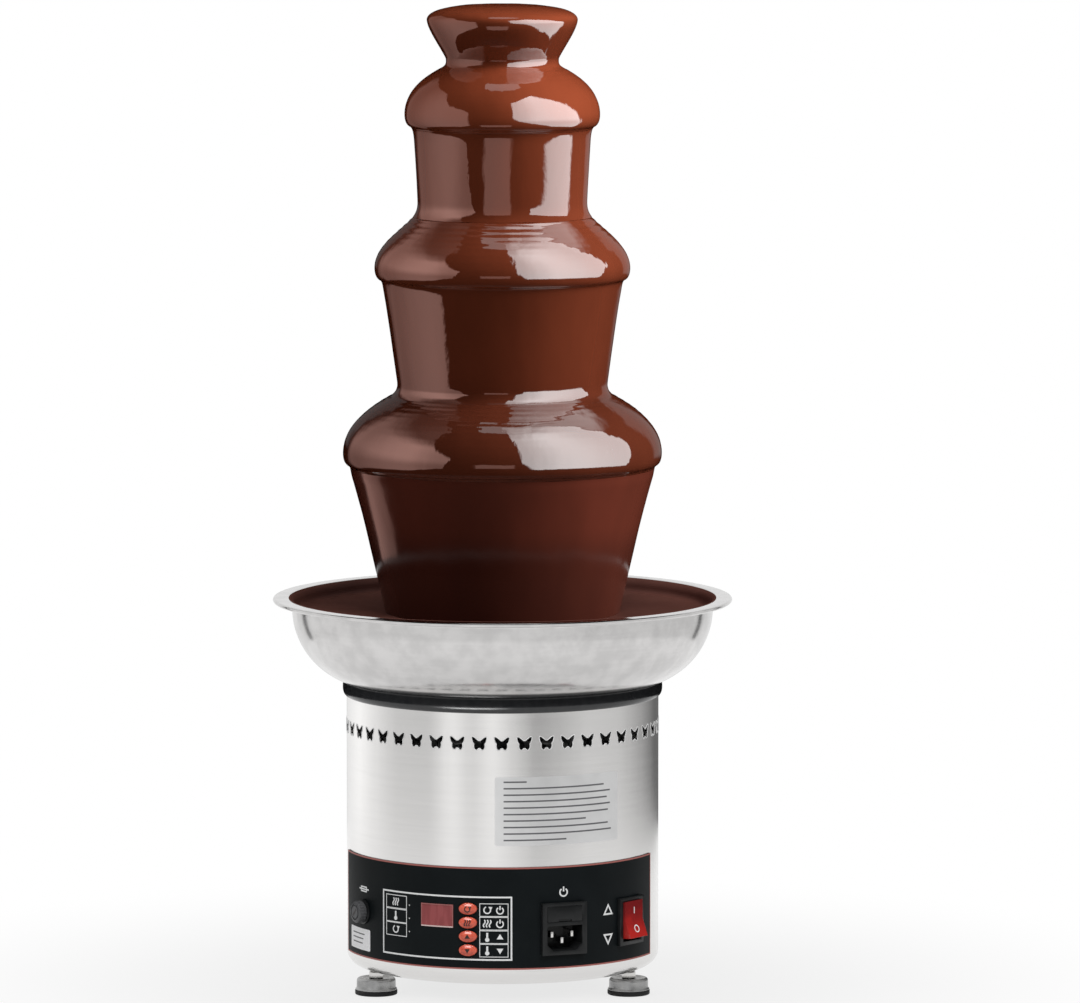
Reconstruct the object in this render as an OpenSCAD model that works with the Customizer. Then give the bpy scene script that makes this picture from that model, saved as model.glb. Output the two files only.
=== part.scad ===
// Table-top chocolate fountain: a steel drum with a control panel, a heated bowl, a tower with three
// domed tiers and a crown, and the chocolate that an auger lifts through the tower and lets run down.
// Millimetres, Z up, origin on the floor under the tower's axis. The control panel faces -Y, and
// angles round the drum are measured from -Y towards +X.

/* [Drum] */
// Outside diameter of the drum
drum_d = 204; // [196:1:214]
// Height of the drum, from its underside to its top edge
drum_h = 177; // [172:1:190]
// Thickness of the steel sheet
sheet = 1.2; // [1:0.1:1.4]
// Radius of the rounded bottom edge
drum_corner = 9; // [8:0.5:10]
// Diameter of the opening in the drum's bottom, under the base plate
drum_hole_d = 140; // [120:1:144]
// Thickness of the base plate
plate_t = 2; // [1.5:0.1:3]

/* [Vents] */
// Number of butterfly vents round the drum
vent_count = 44; // [30:1:46]
// Width of a vent
vent_w = 10; // [8:0.2:11]
// Height of a vent
vent_h = 8.9; // [7:0.1:10]
// Middle of the vents below the drum's top edge
vent_drop = 19.4; // [15:0.2:24]

/* [Feet] */
// Distance of the feet's middles inside the drum's wall
foot_inset = 10.5; // [10:0.25:11]
// Angle of the two front feet from the front
foot_angle = 64; // [58:1:68]
// Diameter of a foot's rubber sole
foot_d = 27.6; // [25:0.2:30]
// Thickness of the rubber sole
sole_h = 3; // [2.5:0.1:4]
// Height of the steel cap over the sole
cap_h = 8; // [7:0.5:10]
// Height of the hexagon on the stud
hex_h = 4; // [3:0.2:6]
// Width of the hexagon across its flats
hex_w = 9; // [8.6:0.2:10]
// Diameter of the stud
stud_d = 6; // [5:0.5:6]
// Length of the stud above the hexagon
stud_up = 24; // [20:1:28]

/* [Bowl] */
// Diameter over the bowl's rim
bowl_d = 300; // [292:1:310]
// Outside diameter of the bowl's upright wall
bowl_wall_d = 275; // [270:1:278]
// Height of the bowl, from its underside to its rim
bowl_depth = 57; // [56:1:64]
// Outside radius of the curve between the bowl's floor and its wall
bowl_curve = 50; // [46:1:51]
// Radius of the turn from the wall to the rim
rim_turn = 4; // [3:0.5:4.5]
// Radius of the bead along the rim
bead_r = 1.4; // [1.2:0.1:1.8]
// Height of the bowl's underside above the drum's top edge
bowl_lift = 7; // [6.5:0.1:8]
// How far the black seat ring stands out past the drum
ring_out = 2.5; // [2:0.1:3.5]
// Height of the seat ring above the drum
ring_h = 10.2; // [9.8:0.1:11]

/* [Tower] */
// Outside diameter of the tower's tube
tube_d = 60; // [58:0.5:61]
// Width of the collars that hold the tiers on the tube
collar_t = 1.6; // [1.4:0.1:1.8]
// Diameter of the crown's rim
crown_d = 91.2; // [88:0.2:96]
// Height of the crown's rim above the bowl's floor
crown_up = 434.3; // [432:0.5:442]
// Height of the crown's cone
crown_cone = 28; // [26:0.5:29]
// Diameter of the upper tier's lip
upper_d = 120.6; // [116:0.2:124]
// Height of the upper tier's lip above the bowl's floor
upper_up = 371.1; // [369:0.5:372]
// Height of the upper tier's dome
upper_rise = 29.2; // [28:0.2:30]
// Diameter at which chocolate lands on the upper tier
upper_start_d = 69.2; // [68.6:0.2:72]
// Diameter of the middle tier's lip
middle_d = 159.8; // [154:0.2:166]
// Height of the middle tier's lip above the bowl's floor
middle_up = 271.4; // [267:0.5:277]
// Height of the middle tier's dome
middle_rise = 34.7; // [32:0.2:38]
// Diameter at which chocolate lands on the middle tier
middle_start_d = 104.4; // [100:0.2:108]
// Diameter of the lower tier's lip
lower_d = 201.4; // [196:0.2:206]
// Height of the lower tier's lip above the bowl's floor
lower_up = 150.3; // [145:0.5:157]
// Height of the lower tier's dome
lower_rise = 37.1; // [34:0.2:40]
// Diameter at which chocolate lands on the lower tier
lower_start_d = 132.6; // [128:0.2:138]

/* [Chocolate] */
// Thickness of the chocolate over the tiers
film = 3.3; // [2.8:0.1:3.6]
// Thickness of the falling curtains
curtain_t = 2.8; // [2.2:0.1:3.4]
// How far below a lip its curtain starts to hang straight
curtain_drop = 12; // [10:0.5:14]
// Depth of the chocolate in the bowl
pool_depth = 46.3; // [44:0.5:48]
// Diameter at which the lowest curtain meets the pool
pool_start_d = 152; // [144:1:160]
// Height of the chocolate's top above the crown's rim
dome_h = 8.5; // [6:0.5:12]

/* [Panel] */
// Height of the control panel
panel_h = 66.5; // [60:0.5:72]
// Height of the panel's lower edge above the drum's underside
panel_up = 10.7; // [10:0.1:14]
// Angle that the panel covers
panel_span = 148; // [144:1:152]
// Angle of the panel's middle
panel_turn = -4.5; // [-6:0.5:-3]
// Thickness of the panel
panel_t = 0.8; // [0.6:0.1:1]
// Height of the row of controls above the panel's lower edge
row_up = 26; // [24:0.5:28]
// Angle of the four buttons
button_turn = -12.3; // [-13:0.1:-11]
// Width of a button
button_w = 12.3; // [11:0.1:13]
// Height of a button
button_h = 8.1; // [7:0.1:8.3]
// Distance from one button to the next
button_pitch = 9; // [8.9:0.1:9.6]
// How far a button is pressed in
button_travel = 0.8; // [0.6:0.1:0.9]
// Angle of the display
display_turn = -24.15; // [-25:0.05:-23.5]
// Width of the display window
display_w = 22.9; // [20:0.1:24]
// Height of the display window
display_h = 15.2; // [12:0.1:16]
// Height of the display above the row's middle
display_rise = 8.3; // [6:0.1:9]
// Angle of the power inlet
inlet_turn = 22.7; // [21:0.1:24]
// Width of the inlet's frame
inlet_w = 31; // [30:0.2:33]
// Height of the inlet's frame
inlet_h = 34; // [33:0.2:36]
// Angle of the power switch
switch_turn = 53.5; // [52:0.1:55]
// Width of the switch's frame
switch_w = 25.6; // [25:0.2:27]
// Height of the switch's frame
switch_h = 31; // [30:0.2:33]
// Angle of the fuse holder
fuse_turn = -61; // [-62:0.5:-59]
// Diameter of the fuse holder's cap
fuse_cap_d = 15; // [14:0.2:16]
// How far the fuse cap stands out of the panel
fuse_cap_out = 7; // [6:0.2:8]

/* [Drive] */
// Distance of the deck that carries the drive below the drum's top edge
deck_drop = 43; // [42:0.5:46]
// Module of the second gear pair
gear_module = 1; // [0.95:0.05:1.1]
// Teeth on each pinion
pinion_teeth = 14; // [14:1:14]
// Teeth on the output gear
output_teeth = 42; // [42:1:42]
// Teeth on the idler gear
idler_teeth = 56; // [56:1:56]
// Diameter of the drive shaft
shaft_d = 10; // [9:0.5:11]
// Diameter of the auger's core
core_d = 18; // [17:0.5:20]
// Rise of the auger's flight in one turn
flight_pitch = 38; // [34:1:44]
// Thickness of the auger's flight
flight_t = 2.4; // [2:0.1:3]
// Outside diameter of the motor
motor_d = 66; // [60:1:70]
// Height of the motor
motor_h = 66; // [60:1:70]

/* [Hidden] */
$fn = 96;
// Clearances: fixed pieces in each other, shafts in bushes, chocolate off steel
fit = 0.15;
run = 0.05;
off = 0.3;
cut = 1;

drum_r = drum_d / 2;
drum_in = drum_r - sheet;
drum_z = sole_h + cap_h + hex_h;
drum_top = drum_z + drum_h;
plate_z = drum_z + sheet;
plate_top = plate_z + plate_t;
plate_r = drum_hole_d / 2 + 12;
plate_screw_r = drum_hole_d / 2 + 6;
plate_screw_turns = [3:60:303];
// Air slots in the base plate: width, length, and reach of their outer ends
slot_w = 5;
slot_l = 22;
slot_r = drum_hole_d / 2 - 12;
foot_turns = [-foot_angle, foot_angle, 180];
stud_r = stud_d / 2;
foot_r = drum_r - foot_inset;

bowl_z = drum_top + bowl_lift;
floor_z = bowl_z + sheet;
rim_z = bowl_z + bowl_depth;
wall_r = bowl_wall_d / 2;
rim_r = bowl_d / 2;
curve_x = wall_r - bowl_curve;
curve_z = bowl_z + bowl_curve;
ring_r = drum_r + ring_out;
ring_in = drum_in - 12;

shaft_r = shaft_d / 2;
deck_z = drum_top - deck_drop;
deck_t = 2;
deck_top = deck_z + deck_t;
first_module = gear_module * (pinion_teeth + output_teeth) / (pinion_teeth + idler_teeth);
centre = gear_module * (pinion_teeth + output_teeth) / 2;
backlash = 0.1;
addendum = 0.8;
box_wall = 3;
box_r = first_module * (idler_teeth / 2 + addendum) + 2 + box_wall;
box_h = 38;
box_z = deck_z - box_h;
box_floor = 4;
idler_z = box_z + box_floor + 2;
idler_w = 8;
motor_r = motor_d / 2;
motor_z = box_z - motor_h;
motor_flange_r = motor_r + 7;
motor_shaft_r = 3;
screw_turns = [70, 110, 250, 290];
screw_circle = box_r + 3.5;
housing_r = 14;
neck_r = 11;
bush_r = shaft_r + 3;
neck_top = floor_z + 11;
hex_top = neck_top + 21;

tube_r = tube_d / 2;
tube_in = tube_r - sheet;
collar_r = tube_r + fit + collar_t;
flight_r = tube_in - 0.8;
core_r = core_d / 2;
socket_z = floor_z + 24;
tower_foot_r = tube_r + 14;
socket_r = tube_r + fit + 3;
socket_top = socket_z + 14;
crown_rim_z = floor_z + crown_up;
cone_z = crown_rim_z - crown_cone;
crown_r = crown_d / 2;
tube_top = cone_z;
pool_z = floor_z + pool_depth;

panel_z = drum_z + panel_up;
panel_in = drum_r + run;
panel_r = panel_in + panel_t;
row_z = panel_z + row_up;
// Control board: its faces behind the drum's surface, its reach each way from the buttons, its holes
board_back = -20.6;
board_front = board_back + 1.6;
board_left = 50;
board_right = 12;
board_half = 21;
board_hole_x = [4 - board_left, board_right - 4];
board_hole_y = [3 - board_half, board_half - 3];
stem_end = -14;
// Circle of the deck's cable holes, and a length that passes any cut right through
cable_circle = 80;
long = 120;

// Points on a cubic curve, on an arc, and a path moved sideways to the left of its travel
function curve_at(p, t) =
  pow(1 - t, 3) * p[0] + 3 * pow(1 - t, 2) * t * p[1] + 3 * (1 - t) * t * t * p[2] + pow(t, 3) * p[3];
function curve(p, n) = [for (i = [0:n]) curve_at(p, i / n)];
function arc(c, r, from, to, n) =
  [for (i = [0:n]) let (a = from + (to - from) * i / n) [c[0] + r * cos(a), c[1] + r * sin(a)]];
function heading(p, i) =
  let (d = p[min(i + 1, len(p) - 1)] - p[max(i - 1, 0)]) d / norm(d);
function beside(p, d) =
  [for (i = [0:len(p) - 1]) let (h = heading(p, i)) p[i] + d * [-h[1], h[0]]];
function back(p) = [for (i = [len(p) - 1:-1:0]) p[i]];

// A tier's dome from the landing ring to its lip: start radius, lip radius, lip height, rise, bend
function dome(start, lip, z, rise, bend) = curve([
  [start, z + rise],
  [start + bend[0] * (lip - start), z + rise - bend[1] * rise],
  [lip, z + bend[2] * rise],
  [lip, z]
], 12);
upper_dome = dome(upper_start_d / 2, upper_d / 2, floor_z + upper_up, upper_rise, [0.45, 0.18, 0.5]);
middle_dome = dome(middle_start_d / 2, middle_d / 2, floor_z + middle_up, middle_rise, [0.2, 0.25, 0.4]);
lower_dome = dome(lower_start_d / 2, lower_d / 2, floor_z + lower_up, lower_rise, [0.38, 0.18, 0.5]);

// The chocolate's outer and inner path over one tier and down its curtain
function tier_outer(d) =
  let (
    lip = d[len(d) - 1],
    top = [lip[0] - 1, lip[1] - curtain_drop],
    edge = beside(d, film)[len(d) - 1]
  )
  concat(
    beside(d, film),
    [for (i = [1:6]) curve_at([
      edge,
      edge - [0, 0.5 * curtain_drop],
      top + [0.4, 0.35 * curtain_drop],
      top
    ], i / 6)]
  );
function tier_inner(d) =
  let (lip = d[len(d) - 1], inside = lip[0] - 1 - curtain_t)
  concat(
    [[inside, lip[1] - curtain_drop], [inside, lip[1] - 2], [lip[0] + off, lip[1] - off]],
    back(beside(d, off))
  );

// Involute gear outline with one tooth on the angle given
function roll(r, base) = sqrt(max(0, pow(r / base, 2) - 1)) * 180 / PI;
function flank(r, base) = let (t = roll(r, base)) t - atan(t * PI / 180);
module gear(teeth, m, bore, width, turn) {
  pitch_r = m * teeth / 2;
  base = pitch_r * cos(20);
  root = pitch_r - 1.2 * m;
  tip = pitch_r + addendum * m;
  start = max(base, root);
  half = 90 / teeth + flank(pitch_r, base) - backlash / pitch_r * 90 / PI;
  points = [for (k = [0:teeth - 1])
    let (mid = turn + 360 * k / teeth)
    each concat(
      [[root, mid - half]],
      [for (i = [0:5]) let (r = start + (tip - start) * i / 5) [r, mid - half + flank(r, base)]],
      [for (i = [5:-1:0]) let (r = start + (tip - start) * i / 5) [r, mid + half - flank(r, base)]],
      [[root, mid + half]]
    )
  ];
  linear_extrude(width) difference() {
    polygon([for (p = points) [p[0] * cos(p[1]), p[0] * sin(p[1])]]);
    if (bore > 0) circle(bore);
  }
}

// Local frame on the drum's wall: x to the right, y up, z outwards from the drum's surface
module on_wall(turn, z) {
  rotate([0, 0, turn]) translate([0, -drum_r, z]) rotate([90, 0, 0]) children();
}
module slab(w, h, from, to) {
  translate([-w / 2, -h / 2, from]) cube([w, h, to - from]);
}
module oval(w, h, from, to) {
  translate([0, 0, from]) linear_extrude(to - from)
    polygon([for (i = [0:31]) [w / 2 * cos(i * 11.25), h / 2 * sin(i * 11.25)]]);
}
module pipe(outer, inner, from, to) {
  translate([0, 0, from]) difference() {
    cylinder(r = outer, h = to - from);
    translate([0, 0, -cut]) cylinder(r = inner, h = to - from + 2 * cut);
  }
}
module rod(r, from, to) {
  translate([0, 0, from]) cylinder(r = r, h = to - from);
}
module on_circle(r, turns) {
  for (t = turns) rotate([0, 0, t]) translate([0, -r, 0]) children();
}

// One half of a plain butterfly, as fractions of its width and height
wing = [
  [0.05, 0.2], [0.18, 0.32], [0.32, 0.45], [0.44, 0.5], [0.5, 0.44], [0.48, 0.26], [0.43, 0.08],
  [0.35, -0.03], [0.37, -0.16], [0.36, -0.32], [0.28, -0.47], [0.17, -0.5], [0.1, -0.42], [0.05, -0.36]
];
module butterfly() {
  right = [for (p = wing) [p[0] * vent_w, p[1] * vent_h]];
  left = [for (p = back(wing)) [-p[0] * vent_w, p[1] * vent_h]];
  translate([0, 0, -6]) linear_extrude(12) polygon(concat(right, left));
}

// The openings that the drum and the panel share
module panel_openings() {
  on_wall(display_turn, row_z + display_rise) slab(display_w, display_h, -8, 8);
  for (k = [0:3]) on_wall(button_turn, button_z(k)) oval(button_w + 2 * fit, button_h + 2 * fit, -8, 8);
  on_wall(inlet_turn, row_z) slab(inlet_w - 4, inlet_h - 3, -8, 8);
  on_wall(switch_turn, row_z) slab(switch_w - 3.6, switch_h - 3.4, -8, 8);
  on_wall(fuse_turn, row_z + 4) rod(6.2, -8, 8);
}
function button_z(k) = row_z + (1.5 - k) * button_pitch;

module base_shell() {
  profile = concat(
    [[drum_r, drum_top]],
    arc([drum_r - drum_corner, drum_z + drum_corner], drum_corner, 0, -90, 10),
    [[drum_hole_d / 2, drum_z], [drum_hole_d / 2, plate_z]],
    arc([drum_r - drum_corner, drum_z + drum_corner], drum_corner - sheet, -90, 0, 10),
    [[drum_in, drum_top]]
  );
  color("silver") difference() {
    rotate_extrude() polygon(profile);
    for (k = [0:vent_count - 1]) on_wall(k * 360 / vent_count, drum_top - vent_drop) butterfly();
    panel_openings();
    on_circle(foot_r, foot_turns) rod(stud_r + 1, drum_z - cut, drum_z + 3);
    on_circle(plate_screw_r, plate_screw_turns) rod(2.2, drum_z - cut, plate_z + cut);
  }
}

module base_plate() {
  color("silver") difference() {
    rod(plate_r, plate_z, plate_top);
    on_circle(plate_screw_r, plate_screw_turns) rod(2.2, plate_z - cut, plate_top + cut);
    for (t = [0:30:330]) rotate([0, 0, t]) translate([-slot_w / 2, -slot_r, plate_z - cut])
      cube([slot_w, slot_l, plate_t + 2 * cut]);
  }
}

module foot_bushes() {
  color("gray") on_circle(foot_r, foot_turns) difference() {
    union() {
      rod(stud_r + 0.9, drum_z + 0.2, drum_z + 5);
      rod(stud_r + 2, drum_z + 3.2, drum_z + 16);
    }
    rod(stud_r + run, drum_z - cut, drum_z + 20);
  }
}

module foot_cap(turn) {
  r = foot_d / 2;
  profile = concat(
    [[0, sole_h], [r - 0.2, sole_h], [r - 0.2, sole_h + 0.8], [r - 0.8, sole_h + 1.6]],
    arc([r - 2.8, sole_h + cap_h - 2], 2, 0, 90, 6),
    [[r - 6, sole_h + cap_h - 0.6], [0, sole_h + cap_h - 0.6]]
  );
  color("silver") on_circle(foot_r, [turn]) difference() {
    rotate_extrude() polygon(profile);
    rod(stud_r + run, sole_h + 2, sole_h + cap_h + cut);
  }
}

module foot_sole(turn) {
  r = foot_d / 2;
  color("dimgray") on_circle(foot_r, [turn])
    rotate_extrude() polygon([[0, 0], [r - 0.6, 0], [r, 0.6], [r, sole_h], [0, sole_h]]);
}

module foot_stud(turn) {
  color("silver") on_circle(foot_r, [turn]) {
    rod(stud_r, sole_h + 2.2, drum_z + stud_up);
    translate([0, 0, sole_h + cap_h - 0.5]) cylinder(d = hex_w / cos(30), h = hex_h + 0.4, $fn = 6);
  }
}

module control_panel() {
  color("black") difference() {
    rotate([0, 0, panel_turn - 90 - panel_span / 2]) rotate_extrude(angle = panel_span)
      translate([panel_in, panel_z]) square([panel_t, panel_h]);
    panel_openings();
  }
}

module display_window() {
  color("firebrick") intersection() {
    pipe(panel_r + 0.15, drum_in - 0.4, panel_z, panel_z + panel_h);
    on_wall(display_turn, row_z + display_rise) slab(display_w - 2 * fit, display_h - 2 * fit, -8, 8);
  }
}

// Sideways place of the display on the board, which faces along the buttons' angle
display_x = drum_r * sin(display_turn - button_turn);
module control_board() {
  color("green") on_wall(button_turn, row_z) {
    difference() {
      translate([-board_left, -board_half, board_back])
        cube([board_left + board_right, 2 * board_half, board_front - board_back]);
      for (x = board_hole_x) for (y = board_hole_y) translate([x, y, 0])
        rod(1.6, board_back - cut, board_front + cut);
    }
    for (k = [0:3]) translate([0, (1.5 - k) * button_pitch, 0]) {
      slab(6, 6, board_front - 0.5, board_front + 3);
      rod(1.7, board_front + 2, stem_end - button_travel - 0.15);
    }
    translate([display_x, display_rise, 0]) slab(display_w - 4, display_h, board_front - 0.5, -9.5);
    translate([14 - board_left, 12 - board_half, 0]) slab(13, 16, board_front - 0.5, board_front + 6.5);
    translate([30 - board_left, 9 - board_half, 0]) slab(14, 12, board_front - 0.5, board_front + 8);
  }
}

module board_bracket() {
  foot_y = plate_top - row_z;
  color("silver") on_wall(button_turn, row_z) {
    translate([-board_left, foot_y, board_back - 6.5])
      cube([board_left + board_right, board_half - foot_y, 1.5]);
    translate([-board_left, foot_y, board_back - 22]) cube([board_left + board_right, 1.5, 16]);
    for (x = board_hole_x) for (y = board_hole_y) translate([x, y, 0]) {
      rod(2.6, board_back - 5.2, board_back);
      rod(1.5, board_back - 1, board_front + 2);
    }
  }
}

module button(k) {
  color("tomato") on_wall(button_turn, button_z(k)) {
    oval(button_w, button_h, -3, panel_t + 1.3);
    oval(button_w - 1.6, button_h - 1.6, panel_t + 1, panel_t + 1.9);
    slab(button_w + 4, button_h - 1, -4.4, -2.4);
    rod(1.6, stem_end, -4);
  }
}

// Inlet: the drawer slot above, the plug's cavity below
drawer_w = 24;
drawer_h = 10;
drawer_y = 9.6;
cavity_y = -6.2;
face_z = panel_t + 2.4;
module inlet_body() {
  color("dimgray") on_wall(inlet_turn, row_z) difference() {
    union() {
      slab(inlet_w - 4 - 2 * fit, inlet_h - 3 - 2 * fit, -30, face_z - 1);
      difference() {
        slab(inlet_w, inlet_h, -4, face_z);
        translate([0, -long / 2, -drum_r]) rotate([-90, 0, 0]) cylinder(r = panel_r + fit, h = long);
      }
    }
    translate([0, cavity_y, 0]) translate([0, 0, -13.5]) linear_extrude(30)
      polygon([[-12.2, 8.2], [12.2, 8.2], [12.2, -4], [8, -8.2], [-8, -8.2], [-12.2, -4]]);
    translate([0, drawer_y, 0]) slab(drawer_w + 2 * fit, drawer_h + 2 * fit, -22, face_z + cut);
    for (p = [[-7, cavity_y + 2], [7, cavity_y + 2], [0, cavity_y - 2]]) translate([p[0], p[1], 0])
      slab(2 + 2 * run, 4 + 2 * run, -31, 0);
  }
}

module inlet_pins() {
  color("gainsboro") on_wall(inlet_turn, row_z)
    for (p = [[-7, cavity_y + 2], [7, cavity_y + 2], [0, cavity_y - 2]]) translate([p[0], p[1], 0])
      slab(2, 4, -40, -1.5);
}

module fuse_drawer() {
  color("black") on_wall(inlet_turn, row_z) translate([0, drawer_y, 0]) difference() {
    slab(drawer_w, drawer_h, -21.5, face_z + 0.4);
    translate([0, 0, -11]) rotate([0, 90, 0]) translate([0, 0, -10.4]) cylinder(r = 2.8, h = 20.8);
    translate([0, 3, 0]) slab(20.8, 6, -13.8, -8.2);
    translate([0, -drawer_h / 2, face_z]) slab(9, 3, -0.6, 1);
  }
}

module drawer_fuse() {
  color("lightblue") on_wall(inlet_turn, row_z) translate([-10, drawer_y, -11])
    rotate([0, 90, 0]) cylinder(r = 2.6, h = 20);
}

// Switch: the rocker turns on two pins in the frame's sides
rocker_w = switch_w - 6.8;
rocker_h = switch_h - 7;
rocker_tilt = 10;
pivot_z = -1.5;
module switch_frame() {
  color("black") on_wall(switch_turn, row_z) difference() {
    union() {
      slab(switch_w - 3.6 - 2 * fit, switch_h - 3.4 - 2 * fit, -24, face_z - 0.6);
      difference() {
        slab(switch_w, switch_h, -4, face_z - 0.4);
        translate([0, -long / 2, -drum_r]) rotate([-90, 0, 0]) cylinder(r = panel_r + fit, h = long);
      }
    }
    slab(rocker_w + 0.6, rocker_h + 2, -13, face_z + cut);
    translate([0, 0, pivot_z]) rotate([0, 90, 0]) translate([0, 0, -rocker_w / 2 - 0.9])
      cylinder(r = 1.5 + run, h = rocker_w + 1.8);
    for (y = [-7, 0, 7]) translate([0, y, 0]) slab(6 + 2 * run, 0.8 + 2 * run, -25, -13);
  }
  color("gold") on_wall(switch_turn, row_z)
    for (y = [-7, 0, 7]) translate([0, y, 0]) slab(6.2, 1, -32, -22);
}

module switch_rocker() {
  h = rocker_h / 2;
  front = face_z + 1.4 - pivot_z;
  lift = h * tan(rocker_tilt);
  color("crimson") on_wall(switch_turn, row_z) translate([0, 0, pivot_z]) rotate([-rocker_tilt, 0, 0]) {
    translate([rocker_w / 2, 0, 0]) rotate([0, -90, 0]) linear_extrude(rocker_w)
      polygon([
        [front + lift, -h], [front, 0], [front + lift, h], [1.5, h - 0.6],
        [-5, 3.5], [-5, -3.5], [1.5, 0.6 - h]
      ]);
    rotate([0, 90, 0]) translate([0, 0, -rocker_w / 2 - 0.8]) cylinder(r = 1.5, h = rocker_w + 1.6);
  }
}

module fuse_holder() {
  color("black") on_wall(fuse_turn, row_z + 4) difference() {
    union() {
      rod(6, -34, panel_t + 1);
      difference() {
        rod(fuse_cap_d / 2 + 0.6, -3, panel_t + 1.4);
        translate([0, -30, -drum_r]) rotate([-90, 0, 0]) cylinder(r = panel_r + fit, h = 60);
      }
      difference() {
        rod(9, -7, -2.2);
        translate([0, -30, -drum_r]) rotate([-90, 0, 0])
          difference() {
            cylinder(r = panel_r, h = 60);
            translate([0, 0, -cut]) cylinder(r = drum_in - fit, h = 62);
          }
      }
    }
    rod(4 + run, -32, panel_t + 6);
  }
}

module fuse_cap() {
  color("dimgray") on_wall(fuse_turn, row_z + 4) difference() {
    union() {
      rod(fuse_cap_d / 2 - 0.4, panel_t + 1.5, panel_t + fuse_cap_out - 1);
      rod(fuse_cap_d / 2 - 1.2, panel_t + 2, panel_t + fuse_cap_out);
      rod(4, -24, panel_t + 3);
    }
    slab(8, 1.4, panel_t + fuse_cap_out - 1.6, panel_t + fuse_cap_out + cut);
    rod(2.8, -25, -4);
  }
}

module deck_plate() {
  color("silver") difference() {
    union() {
      rod(drum_in - fit, deck_z, deck_top);
      pipe(drum_in - fit, drum_in - fit - 1.6, deck_z, deck_top + 9);
    }
    rod(housing_r - 2, deck_z - cut, deck_top + cut);
    translate([0, centre, 0]) rod(3 + run, deck_z - cut, deck_top + cut);
    on_circle(screw_circle, screw_turns) rod(2.2, deck_z - cut, deck_top + cut);
    on_circle(cable_circle, [45:30:315]) rod(5, deck_z - cut, deck_top + cut);
  }
}

module box_outline(r) {
  circle(r);
  translate([0, centre]) circle(r);
  translate([-r, 0]) square([2 * r, centre]);
}

module gearbox_housing() {
  color("lightgray") difference() {
    union() {
      translate([0, 0, box_z]) linear_extrude(box_h - fit) box_outline(box_r);
      rod(motor_flange_r, box_z, box_z + box_floor);
      on_circle(screw_circle, screw_turns) rod(5, deck_z - 14, deck_z - fit);
    }
    translate([0, 0, box_z + box_floor]) linear_extrude(box_h) box_outline(box_r - box_wall);
    rod(7 + run, box_z - cut, box_z + box_floor + cut);
    translate([0, centre, 0]) rod(3 + run, box_z + 1, box_z + box_floor + cut);
    on_circle(screw_circle, screw_turns) rod(2.1, deck_z - 15, deck_z + cut);
    on_circle(motor_r + 3.4, [-60, 0, 60]) rod(1.7, box_z - cut, box_z + box_floor + cut);
  }
  color("lightgray") translate([0, centre, 0]) pipe(5.5, 3 + run, box_z + box_floor - 0.5, idler_z - 0.2);
}

// Six screws with nuts in the base plate, four through the deck, three at the motor
module case_screws() {
  color("gray") {
    on_circle(plate_screw_r, plate_screw_turns) {
      rod(3.8, drum_z - 2.2, drum_z);
      rod(2, drum_z - 1, plate_top + 4);
      translate([0, 0, plate_top]) cylinder(r = 4, h = 3, $fn = 6);
    }
    on_circle(screw_circle, screw_turns) {
      rod(2, deck_z - 13, deck_top + 5);
      rod(3.6, deck_top + 4, deck_top + 6.6);
    }
    on_circle(motor_r + 3.4, [-60, 0, 60]) {
      rod(1.5, box_z - 4, box_z + box_floor + 1);
      rod(2.8, box_z + box_floor, box_z + box_floor + 2);
    }
  }
}

// Round wires along smooth paths: inlet to switch, switch to board, board to motor, board to heater
function wall_point(turn, x, out, z) = [
  x * cos(turn) + (drum_r + out) * sin(turn), x * sin(turn) - (drum_r + out) * cos(turn), z
];
function along(p, t) =
  let (i = min(floor(t), len(p) - 2), f = t - i, a = p[max(i - 1, 0)], b = p[i], c = p[i + 1],
    d = p[min(i + 2, len(p) - 1)])
  0.5 * (2 * b + (c - a) * f + (2 * a - 5 * b + 4 * c - d) * f * f + (3 * b - a - 3 * c + d) * f * f * f);
module wire(p) {
  n = 5 * (len(p) - 1);
  path = [for (i = [0:n]) along(p, i / 5)];
  points = [for (i = [0:n])
    let (h = heading(path, i), s = cross(h, [0.35, 0.2, 0.91]), u = s / norm(s), v = cross(h, u))
    for (k = [0:7]) path[i] + 1.6 * (cos(45 * k) * u + sin(45 * k) * v)
  ];
  sides = [for (i = [0:n - 1]) for (k = [0:7])
    let (a = 8 * i + k, b = 8 * i + (k + 1) % 8)
    each [[a, b, a + 8], [b, b + 8, a + 8]]
  ];
  ends = [for (k = [1:6]) each [[0, k + 1, k], [8 * n, 8 * n + k, 8 * n + k + 1]]];
  polyhedron(points, concat(sides, ends));
}
function board_edge(y) = [
  wall_point(button_turn, 12.2, board_front - 0.8, row_z + y),
  wall_point(button_turn, 20, board_front - 1.5, row_z + y + 1)
];
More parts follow.
